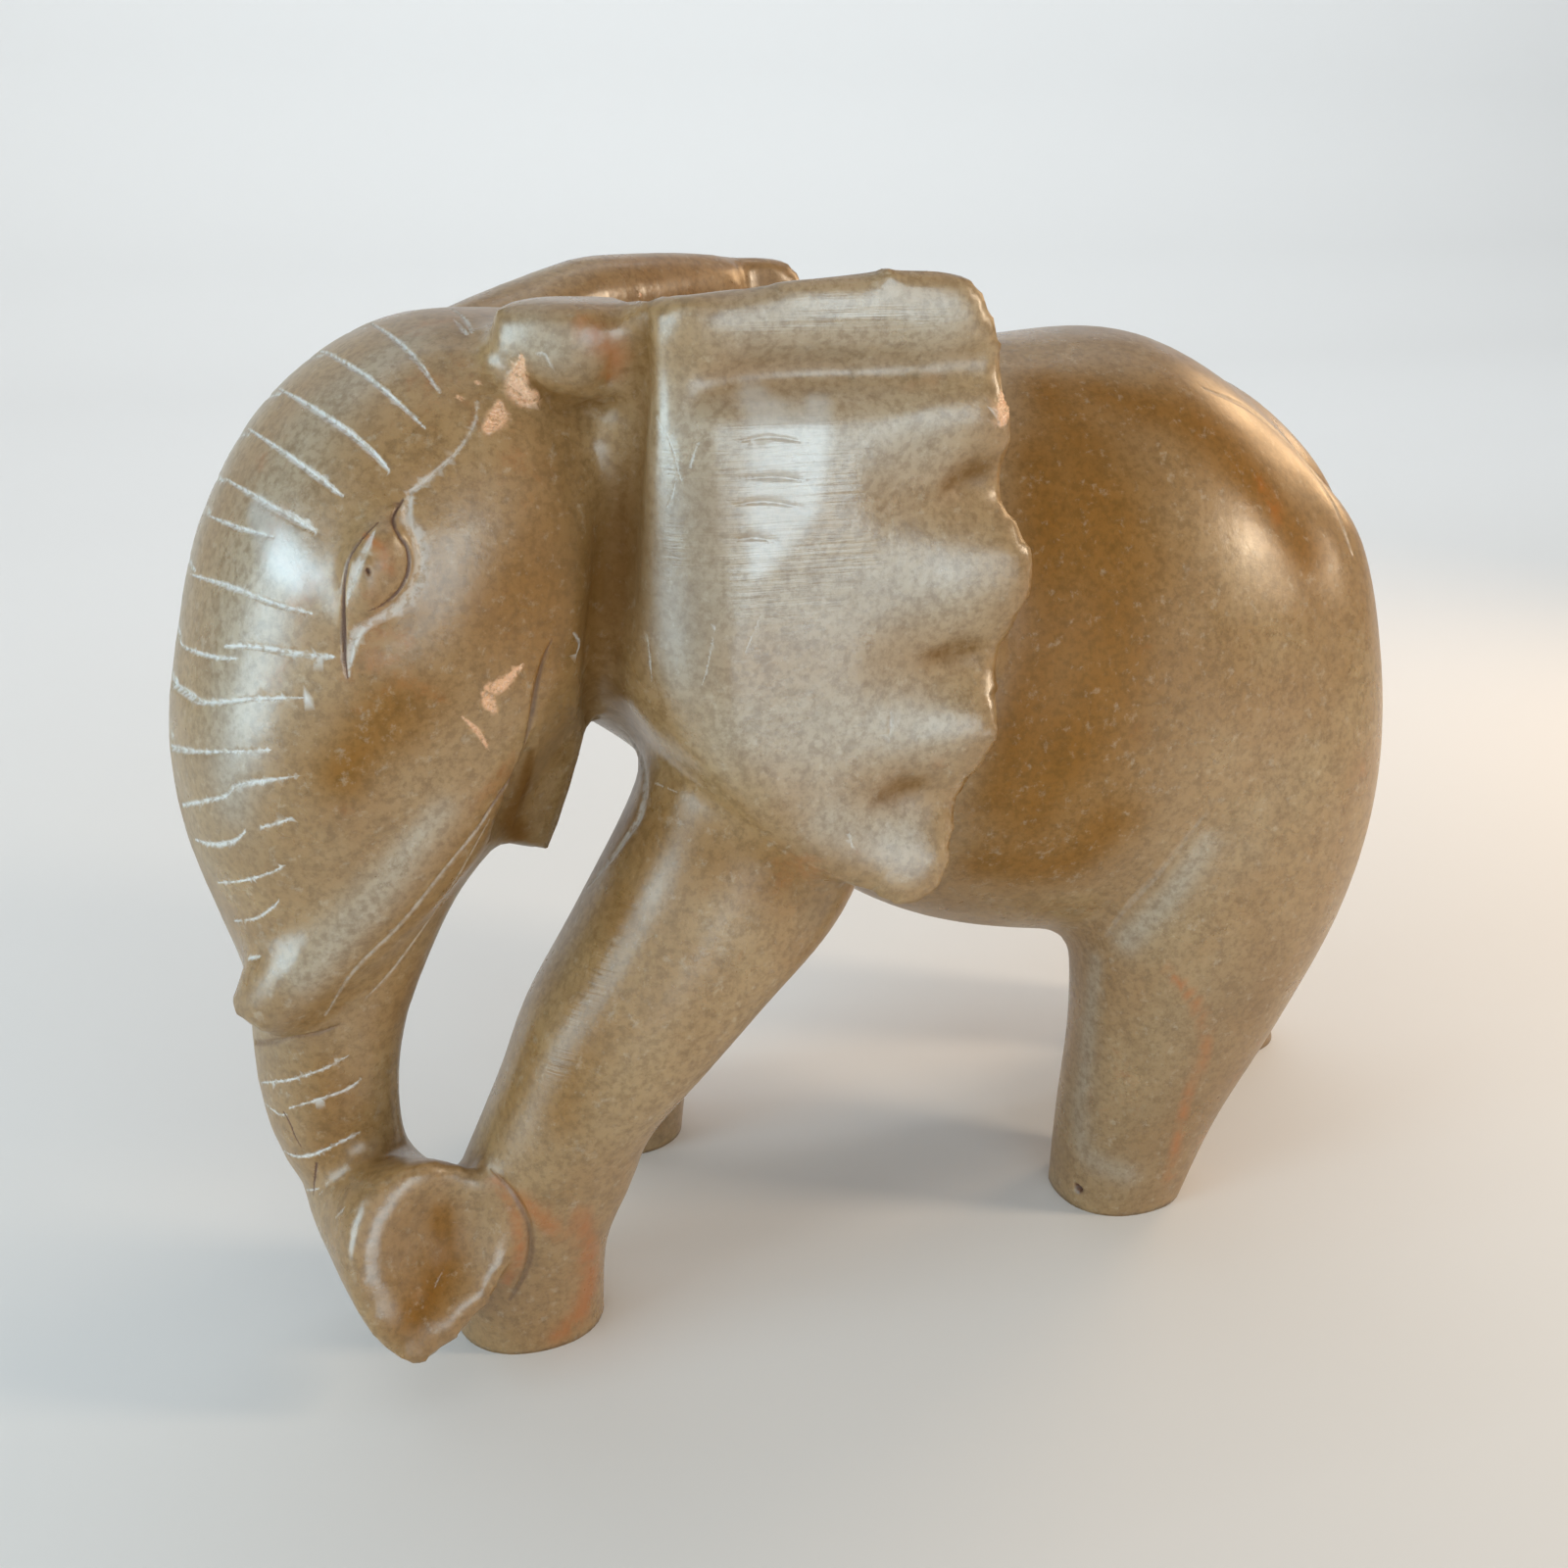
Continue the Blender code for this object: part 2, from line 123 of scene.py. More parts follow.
def smoothed(stations, steps):
    # a Catmull-Rom curve through the stations: cubic in t between each pair, its slope at a
    # station half the way from the one before to the one after
    rows = np.array(stations, float)
    padded = np.vstack([2 * rows[0] - rows[1], rows, 2 * rows[-1] - rows[-2]])
    before, start, end, after = (padded[i:len(padded) - 3 + i, None, :] for i in range(4))
    t = (np.arange(steps) / steps)[None, :, None]
    bend = 2 * before - 5 * start + 4 * end - after
    swing = 3 * start - before - 3 * end + after
    curve = 0.5 * (2 * start + (end - before) * t + bend * t**2 + swing * t**3)
    return np.vstack([curve.reshape(-1, rows.shape[1]), rows[-1:]])


def ovals(centres, across, along, squareness=2.0, lean=0.0, point=0.0):
    # sections as superellipses: centre + u * across + v * along, with u and v the cosine and sine
    # to the power 2 / squareness, widened towards +along by lean and narrowed at -along by point
    angle = np.linspace(0, 2 * np.pi, grain["sides"], endpoint=False)
    c, s = np.cos(angle), np.sin(angle)
    u = np.sign(c) * abs(c) ** (2 / squareness)
    v = np.sign(s) * abs(s) ** (2 / squareness)
    narrowed = 1 - np.multiply.outer(np.broadcast_to(point, len(centres)), np.clip(-v, 0, 1) ** taper)
    u = u * (1 + lean * v) * narrowed
    return centres[:, None] + u[..., None] * across[:, None] + v[None, :, None] * along[:, None]


def domed(sections, dome):
    # shrinking rings beyond each end: the end ring times cosine, plus an outward step times sine
    swing = np.array(domes["rings"])[:, None, None]
    ends = []
    for last, inner in ((sections[0], sections[1]), (sections[-1], sections[-2])):
        middle = last.mean(axis=0)
        out = middle - inner.mean(axis=0)
        out *= dome * np.linalg.norm(last - middle, axis=1).min() / np.linalg.norm(out)
        ends.append(middle + (last - middle) * np.cos(swing) + out * np.sin(swing))
    return np.concatenate([ends[0][::-1], sections, ends[1]])


def loft(sections, dome=domes["round"]):
    # a closed skin over a grid of section points, wrapped around and capped at both ends
    rings = domed(sections, dome) if dome else sections
    count, sides = rings.shape[:2]
    row, column = np.meshgrid(np.arange(count - 1), np.arange(sides), indexing="ij")
    a, b = row * sides + column, row * sides + (column + 1) % sides
    quads = np.stack([a, b, b + sides, a + sides], axis=-1).reshape(-1, 4)
    last = (count - 1) * sides
    caps = [list(range(sides))[::-1], list(range(last, last + sides))]
    return rings.reshape(-1, 3), quads.tolist() + caps


# the head's own middle plane is turned about the neck: front x and z, back x and z, half width
head = {
    "turn": math.radians(14),
    "neck": (-45, 0),
    "stations": [
        (-52, 161, -36, 136, 20), (-75.4, 161, -36, 125, 25.8), (-93.3, 150.8, -38, 119, 29),
        (-104.9, 134.6, -44, 112, 29.9), (-110.4, 118, -53, 104, 28.8), (-113.7, 103, -61, 95.5, 26),
        (-113.3, 89, -67, 86, 22.3), (-110.3, 76, -74.5, 77, 17.5), (-107.4, 64, -80.5, 66, 14.3),
        (-107.8, 53, -85, 55, 12.4), (-107.4, 42, -87, 43, 11.6), (-104.3, 30.3, -86.5, 33, 11),
        (-98.4, 22.2, -85, 25, 10),
    ],
    "jaw": [
        (-77, 129, -46, 120, 22), (-76, 111, -53.5, 106, 20.5), (-75, 97, -57, 92.5, 17.5),
        (-74.5, 85.5, -61, 79.5, 14),
    ],
}


def turnHead(points, turn=head["turn"]):
    # the head's plan turned about the neck
    c, s = math.cos(turn), math.sin(turn)
    neckX, neckY = head["neck"]
    x, y = points[..., 0] - neckX, points[..., 1] - neckY
    return np.stack([neckX + x * c - y * s, neckY + x * s + y * c, points[..., 2]], axis=-1)


def headPlan(points):
    # the way back from turnHead
    return turnHead(points, -head["turn"])


def columns(*values):
    # vectors from three rows of numbers
    return np.stack(np.broadcast_arrays(*values), axis=-1).astype(float)


def unit(vectors):
    return vectors / np.linalg.norm(vectors, axis=-1, keepdims=True)


# x, top, belly, half width
barrel = {
    "stations": [
        (-60, 142, 104, 18), (-46, 149, 94.5, 27), (-26, 151, 78, 34), (0, 152, 59, 38), (24, 155, 51, 41),
        (46, 155.2, 50, 42), (65, 146, 55, 39), (79, 132.5, 62, 31.5), (88.5, 115, 72, 21.5),
    ],
    "crest": -0.10,
}


def makeBarrel():
    x, top, belly, half = smoothed(barrel["stations"], grain["steps"]).T
    zero = np.zeros(len(x))
    centres = columns(x, zero, (top + belly) / 2)
    across, along = columns(zero, half, zero), columns(zero, zero, (top - belly) / 2)
    return loft(ovals(centres, across, along, squareness["barrel"], barrel["crest"]))


# z, centre x, half length along x, centre y, half width
legs = {
    "frontLeft": [
        (108, -26, 18, -22, 14), (92, -26.6, 19.6, -24, 17), (72, -35.6, 21.6, -25, 18),
        (58, -46.8, 19.3, -26, 17),
        (47, -54.2, 16.3, -26, 15.5), (37, -60.6, 14.1, -25, 14), (26, -64.4, 14.4, -23, 13.2),
        (14, -67, 12.8, -21, 12.7), (-6, -67.5, 12.3, -20, 12.1),
    ],
    "frontRight": [
        (108, -16, 20, 22, 14), (90, -14, 18.5, 23, 17), (70, -15.5, 17, 25, 17), (50, -21.5, 15, 27.5, 15),
        (30, -30, 13, 29.5, 13.5), (14, -36.5, 12.5, 30.5, 12.7), (-6, -39, 12.5, 31, 12.3),
    ],
    "hindLeft": [
        (135, 56, 17, -14, 12), (122, 59.5, 23, -18, 16), (100, 60, 27, -21, 18.5),
        (78, 59.7, 27.5, -23, 19), (57, 57, 25.2, -24, 17.5),
        (35, 52.4, 19.4, -23.5, 15), (16, 47.3, 14.9, -22, 13), (-6, 43.6, 11.4, -20.5, 11),
    ],
    "hindRight": [
        (135, 57, 18, 14, 12), (122, 62, 24, 18, 16), (100, 62, 27, 21, 19), (78, 65, 24, 22, 19),
        (57, 71, 20, 23, 16.5),
        (35, 80, 16.5, 24, 15), (16, 90, 14.5, 24, 13.5), (-6, 97, 13.5, 24, 12),
    ],
}


def makeLeg(stations):
    z, x, halfX, y, halfY = smoothed(stations, grain["steps"]).T
    zero = np.zeros(len(z))
    across, along = columns(halfX, zero, zero), columns(zero, halfY, zero)
    return loft(ovals(columns(x, y, z), across, along, squareness["leg"]))


def makeAcrossHead(stations, square, dome=domes["round"]):
    frontX, frontZ, backX, backZ, half = smoothed(stations, grain["steps"]).T
    zero = np.zeros(len(half))
    front, back = columns(frontX, zero, frontZ), columns(backX, zero, backZ)
    rings = ovals((front + back) / 2, columns(zero, half, zero), (front - back) / 2, square)
    return loft(turnHead(rings), dome)


# centre x, y, z, half width, half height of the trunk's tip and the cup that ends it
trunkTip = {
    "stations": [
        (-92.8, -9, 28.5, 8.5, 10), (-91.2, -17, 26.8, 10, 11.4), (-88.6, -25, 25.8, 11.4, 13),
        (-86, -33, 24.4, 12.4, 15.0), (-85.0, -37.5, 24.3, 12.4, 15.4),
    ],
    "start": (0.1, -0.6, -0.8),
    "facing": (0.12, -0.95, 0.3),
    "lean": 0.36,
    "point": 0.35,
    "bowl": 0.68,
    "shift": (1.6, 2.6),
    "depth": 3.5,
    "rings": (0.0, 0.35, 0.7, 0.9),
}


def makeTrunkTip():
    # a stub whose sections turn to face the cup, and rings that sink into the cup's bowl
    facing = unit(np.array(trunkTip["facing"]))
    x, y, z, half, tall = smoothed(trunkTip["stations"], grain["steps"]).T
    share = np.linspace(0, 1, len(x))[:, None]
    ahead = unit((1 - share) * np.array(trunkTip["start"]) + share * facing)
    up = np.hstack([trunkTip["lean"] * share, 0 * share, 1 + 0 * share])
    up = unit(up - ahead * (ahead * up).sum(axis=1, keepdims=True))
    across = np.cross(ahead, up)
    point = trunkTip["point"] * share[:, 0]
    rings = ovals(columns(x, y, z), across * half[:, None], up * tall[:, None], point=point)
    rim = rings[-1]
    middle = rim.mean(axis=0)
    swing = np.array(trunkTip["rings"])[:, None, None] * math.pi / 2
    right, raised = trunkTip["shift"]
    bowl = middle - across[-1] * right + up[-1] * raised
    bowl = bowl + (rim - middle) * trunkTip["bowl"] * np.cos(swing)
    bowl = bowl - facing * trunkTip["depth"] * np.sin(swing)
    return loft(np.concatenate([rings, bowl]), 0)


# root x, z and free edge x, z of each row
ears = {
    "rows": [
        (-49, 164, -15.5, 168.1), (-51, 161.5, -4, 167), (-52, 155, 1.3, 159.6), (-52, 146, 4, 146.5),
        (-52, 136, 5.1, 135), (-52, 129, 7.6, 127), (-52, 122.5, 6.4, 118.5), (-52, 116, 4.1, 110.5),
        (-51, 110, 2.2, 100), (-49, 105, -2.2, 91.5), (-45, 99, -4.5, 84), (-39, 92.5, -8, 77.5),
        (-29, 85, -14, 77),
    ],
    "root": 14,
    "face": 39.5,
    "lean": 0.045,
    "leanFrom": 105,
    "flare": 6.0,
    "roll": 0.3,
    "thickness": 4.4,
    "flutes": ((138, 5.2), (113, 5.0), (92, 4.0)),
    "fluteBack": 0.45,
    "fluteStart": 0.58,
    "fluteWidth": 5.8,
    "fold": 154.5,
    "foldDepth": 3.8,
    "foldWidth": 3.2,
    "foldStop": 0.8,  # share of the way out from which the fold keeps its depth
    "rootSwell": 1.5,  # how much thicker the root is
    "columns": 41,
    "crowding": 0.9,  # below 1, the columns crowd towards the free edge
    "rightDrop": 2.0,
    "rightReach": 5,
}


def makeEar(side):
    # a plate over rows from root to free edge: a quarter ellipse out from the root, then a slight
    # flare, less a bell-shaped valley under the upper band and bell-shaped hollows along the free edge
    share = np.linspace(0, 1, ears["columns"])[None, :] ** ears["crowding"]
    rootX, rootZ, edgeX, edgeZ = smoothed(ears["rows"], grain["steps"]).T[:, :, None]
    reach = ears["rightReach"] if side > 0 else 0
    drop = ears["rightDrop"] if side > 0 else 0
    x = rootX + (edgeX + reach - rootX) * share
    z = rootZ + (edgeZ - rootZ) * share - drop
    roll = np.clip(share / ears["roll"], 0, 1)
    face = ears["root"] + (ears["face"] - ears["root"]) * np.sqrt(roll * (2 - roll)) + ears["flare"] * share
    valley = np.exp(-(((z - ears["fold"]) / ears["foldWidth"]) ** 2))
    face = face - ears["foldDepth"] * valley * np.sin(np.pi * np.clip(share, 0, ears["foldStop"]))
    face = face - ears["lean"] * (z - ears["leanFrom"]) * roll
    rise = np.clip((share - ears["fluteStart"]) / (1 - ears["fluteStart"]), 0, 1)
    bells = [depth * np.exp(-(((z - height) / ears["fluteWidth"]) ** 2)) for height, depth in ears["flutes"]]
    hollow = sum(bells) * rise
    half = ears["thickness"] * (1 + ears["rootSwell"] * (1 - share) ** 3) / 2
    front = columns(x, side * (face + half - hollow), z)
    back = columns(x, side * (face - half - hollow * ears["fluteBack"]), z)
    return loft(np.concatenate([front, back[:, ::-1]], axis=1), 0)


# centre x, y, z and share of the radius, in the head's plan
tusks = {
    "radius": 9.8,
    "tilt": math.radians(25),
    "left": [
        (-69, -17, 110, 0.7), (-77.3, -18.0, 102, 0.88), (-84, -16.6, 92.8, 1.0), (-91, -14.6, 84.6, 1.02),
        (-97, -12.4, 77.6, 0.95), (-102, -10.8, 71.6, 0.84), (-106.2, -9.0, 65.8, 0.7),
        (-108.6, -7.6, 61.8, 0.58),
    ],
    "right": [
        (-68, 16.5, 109, 0.6), (-78, 17, 99, 0.74), (-87, 15.5, 88, 0.74), (-94.5, 12, 78, 0.66),
        (-100, 9, 70, 0.54), (-102.5, 7, 65, 0.42),
    ],
}


def makeTusk(stations, side):
    # diamonds along the path, with the ridge turned outwards and a little up
    rows = smoothed(stations, grain["steps"])
    path, radius = rows[:, :3], tusks["radius"] * rows[:, 3:]
    ahead = unit(np.gradient(path, axis=0))
    below = unit(np.cross(ahead, (0, 1, 0)))
    ridge = np.array((0, side, 0)) * math.cos(tusks["tilt"]) - below * math.sin(tusks["tilt"])
    rings = ovals(path, np.cross(ahead, ridge) * radius, ridge * radius, squareness["tusk"])
    return loft(turnHead(rings), domes["crisp"])


# the left knob's z, centre x, half length along x, centre y, half width, in the head's plan
knob = [
    (149.5, -59.5, 6, -18, 6), (152.5, -60.5, 9.2, -20, 9), (157, -61, 10.8, -21.4, 10),
    (161, -61, 10.8, -21.6, 10), (163.4, -60.6, 10.2, -21.2, 9.4),
]


def makeKnob():
    z, x, halfX, y, halfY = smoothed(knob, grain["steps"]).T
    zero = np.zeros(len(z))
    across, along = columns(halfX, zero, zero), columns(zero, halfY, zero)
    rings = ovals(columns(x, y, z), across, along, squareness["knob"])
    return loft(turnHead(rings), domes["crisp"])


# the right ramp's x, y, z, half width, half height, in the head's plan
ramp = [
    (-67, 21, 149.4, 5, 6), (-60.5, 22.5, 152, 7.5, 7.3), (-52.5, 23.5, 154.4, 8.5, 7.5),
    (-44, 24, 156.6, 8.5, 7.8), (-34, 25, 159.1, 7.5, 7.8), (-24, 27, 160, 7, 7.2),
    (-12, 29, 160.8, 6, 6.2),
    (-2, 31, 160.6, 5, 5.5),
]


def makeRamp():
    x, y, z, halfY, halfZ = smoothed(ramp, grain["steps"]).T
    zero = np.zeros(len(x))
    across, along = columns(zero, halfY, zero), columns(zero, zero, halfZ)
    rings = ovals(columns(x, y, z), across, along, squareness["ramp"])
    return loft(turnHead(rings))


eyes = {
    "spot": (-92.3, 26.6, 131.2),
    "slant": math.radians(64),
    "long": 7.6,
    "tall": 4.6,
    "relief": 3.1,
    "rings": (-1, -0.4, 0.2, 0.6, 0.9),  # shares of the relief
    "crown": 0.9,  # how much the almond shrinks as it rises
}


def makeEye(side):
    # an almond: a superellipse that shrinks as it rises out of the temple
    rise = np.array(eyes["rings"])[:, None]
    width = np.sqrt(1 - eyes["crown"] * rise**2)
    x, y, z = eyes["spot"]
    centres = np.array((x, side * y, z)) + rise * (0, side * eyes["relief"], 0)
    c, s = math.cos(eyes["slant"]), math.sin(eyes["slant"])
    across = width * np.array((c, 0, s)) * eyes["long"]
    along = width * np.array((-s, 0, c)) * eyes["tall"]
    rings = ovals(centres, across, along, squareness["eye"])
    return loft(turnHead(rings), 0)


# x, z, half width down the rump
tail = {
    "stations": [
        (52, 150, 6), (62, 145.8, 8.5), (72, 140.6, 10.5), (82.5, 132, 11), (90, 122.3, 10),
        (94.3, 111, 8.5),
        (96.2, 98, 7), (95.2, 85, 6), (91.5, 74, 6), (87, 66, 5),
    ],
    "relief": 2.4,
    "depth": 3.0,
}


def makeTail():
    x, z, half = smoothed(tail["stations"], grain["steps"]).T
    zero = np.zeros(len(x))
    path = columns(x, zero, z)
    out = np.cross(unit(np.gradient(path, axis=0)), (0, 1, 0))
    along = out * (tail["relief"] + tail["depth"])
    return loft(ovals(path - out * tail["depth"], columns(zero, half, zero), along, squareness["tail"]))


def joined(name, forms):
    # one mesh object from several closed skins, which may overlap
    points, faces, start = [], [], 0
    for formPoints, formFaces in forms:
        points.append(formPoints)
        faces += [[corner + start for corner in face] for face in formFaces]
        start += len(formPoints)
    data = bpy.data.meshes.new(name)
    data.from_pydata((np.vstack(points) * mm).tolist(), [], faces)
    shell = bmesh.new()
    shell.from_mesh(data)
    bmesh.ops.recalc_face_normals(shell, faces=shell.faces)
    shell.to_mesh(data)
    shell.free()
    return placed(name, data)


def fused(piece, cell, passes):
    # the skins fused on cells of the given size, then sanded by averaging neighbours
    fuse = piece.modifiers.new("fuse", "REMESH")
    fuse.mode = "VOXEL"
    fuse.voxel_size = cell * mm
    sand = piece.modifiers.new("sand", "SMOOTH")
    sand.factor = grain["sanding"]
    sand.iterations = passes
    bpy.context.view_layer.update()
    data = bpy.data.meshes.new_from_object(piece.evaluated_get(bpy.context.evaluated_depsgraph_get()))
    bpy.data.objects.remove(piece)
    return data


def pointValues(data, what):
    # three numbers for each point of the mesh
    found = np.empty(len(data.vertices) * 3)
    data.vertices.foreach_get(what, found)
    return found.reshape(-1, 3)


def meshPoints(data):
    return pointValues(data, "co") / mm


def meshForm(data):
    return meshPoints(data), [list(face.vertices) for face in data.polygons]


roughForms = [makeBarrel(), makeAcrossHead(head["stations"], squareness["head"])]
roughForms += [makeLeg(stations) for stations in legs.values()]
rough = meshForm(fused(joined("rough", roughForms), grain["roughCell"], grain["roughPasses"]))
print("body, head and legs run together:", len(rough[1]), "faces")
carvedForms = [rough, makeTrunkTip(), makeAcrossHead(head["jaw"], squareness["jaw"], domes["crisp"])]
carvedForms += [makeTail(), makeKnob(), makeRamp()]
carvedForms += [makeTusk(tusks["left"], -1), makeTusk(tusks["right"], 1)]
carvedForms += [makeEar(-1), makeEar(1), makeEye(-1), makeEye(1)]
stoneMesh = fused(joined("figure", carvedForms), grain["cell"], grain["finePasses"])
print("forms fused:", len(stoneMesh.polygons), "faces")


closeEnough = 1e-5  # m, for the cut at the ground


def cutSoles(data):
    # everything below the ground is cut off and the four soles are closed flat
    stone = bmesh.new()
    stone.from_mesh(data)
    whole = list(stone.verts) + list(stone.edges) + list(stone.faces)
    cut = bmesh.ops.bisect_plane(
        stone, geom=whole, dist=closeEnough, plane_co=(0, 0, 0), plane_no=(0, 0, -1), clear_outer=True
    )
    rim = [item for item in cut["geom_cut"] if isinstance(item, bmesh.types.BMEdge)]
    bmesh.ops.holes_fill(stone, edges=rim)
    stone.to_mesh(data)
    stone.free()


def setPoints(data, points):
    data.vertices.foreach_set("co", (points * mm).ravel())
    data.update()


cutSoles(stoneMesh)
points = meshPoints(stoneMesh)
middle = (points.min(axis=0) + points.max(axis=0)) / 2 * (1, 1, 0)
setPoints(stoneMesh, points - middle)
print("soles cut, moved by", (-middle).round(2), "mm")


def stoneTree(data):
    return BVHTree.FromPolygons([v.co for v in data.vertices], [f.vertices for f in data.polygons])


drawing = {
    "spacing": 3,  # photograph pixels from one point of a line to the next
    "thinnest": 0.05,  # mm, half width
    "mirrorFrom": 3.5,  # mm from the head's middle plane, so that mirrored lines stop short of it
}


def onStone(stations, tree, width=1.0):
    # a smooth line drawn on the stone as the camera sees it: x, y in the photograph and half width in mm
    rows = np.array(stations, float)
    length = np.linalg.norm(np.diff(rows[:, :2], axis=0), axis=1).max()
    drawn = smoothed(rows, max(2, int(length / drawing["spacing"])))
    start = Vector(view["spot"]) * mm
    found = [tree.ray_cast(start, Vector(ray))[0] for ray in throughPixels(drawn[:, :2])]
    widths = np.maximum(drawn[:, 2] * width, drawing["thinnest"])
    return np.array([(*(spot / mm), half) for spot, half in zip(found, widths) if spot])


def acrossHead(line, tree):
    # the same line on the other side of the head
    plan = headPlan(line[:, :3] + middle) * (1, -1, 1)
    away = plan[:, 1] > drawing["mirrorFrom"]
    there = [tree.find_nearest(Vector(spot) * mm)[0] / mm for spot in turnHead(plan[away]) - middle]
    return np.hstack([np.array(there).reshape(-1, 3), line[away, 3:]])


tiny = 1e-12  # keeps a step of no length from dividing by nothing


def nearLine(points, line, reach):
    # for the points within reach of the line: index, distance to it and its half width there
    places, halves = line[:, :3], line[:, 3]
    low, high = places.min(axis=0) - reach, places.max(axis=0) + reach
    index = np.nonzero(((points > low) & (points < high)).all(axis=1))[0]
    start, step = places[:-1], np.diff(places, axis=0)
    offset = points[index, None] - start
    along = np.clip((offset * step).sum(axis=2) / ((step**2).sum(axis=1) + tiny), 0, 1)
    distance = np.linalg.norm(offset - along[..., None] * step, axis=2)
    nearest = distance.argmin(axis=1)
    rows = np.arange(len(index))
    distance, along = distance[rows, nearest], along[rows, nearest]
    half = halves[nearest] * (1 - along) + halves[nearest + 1] * along
    close = distance < reach
    return index[close], distance[close], half[close]
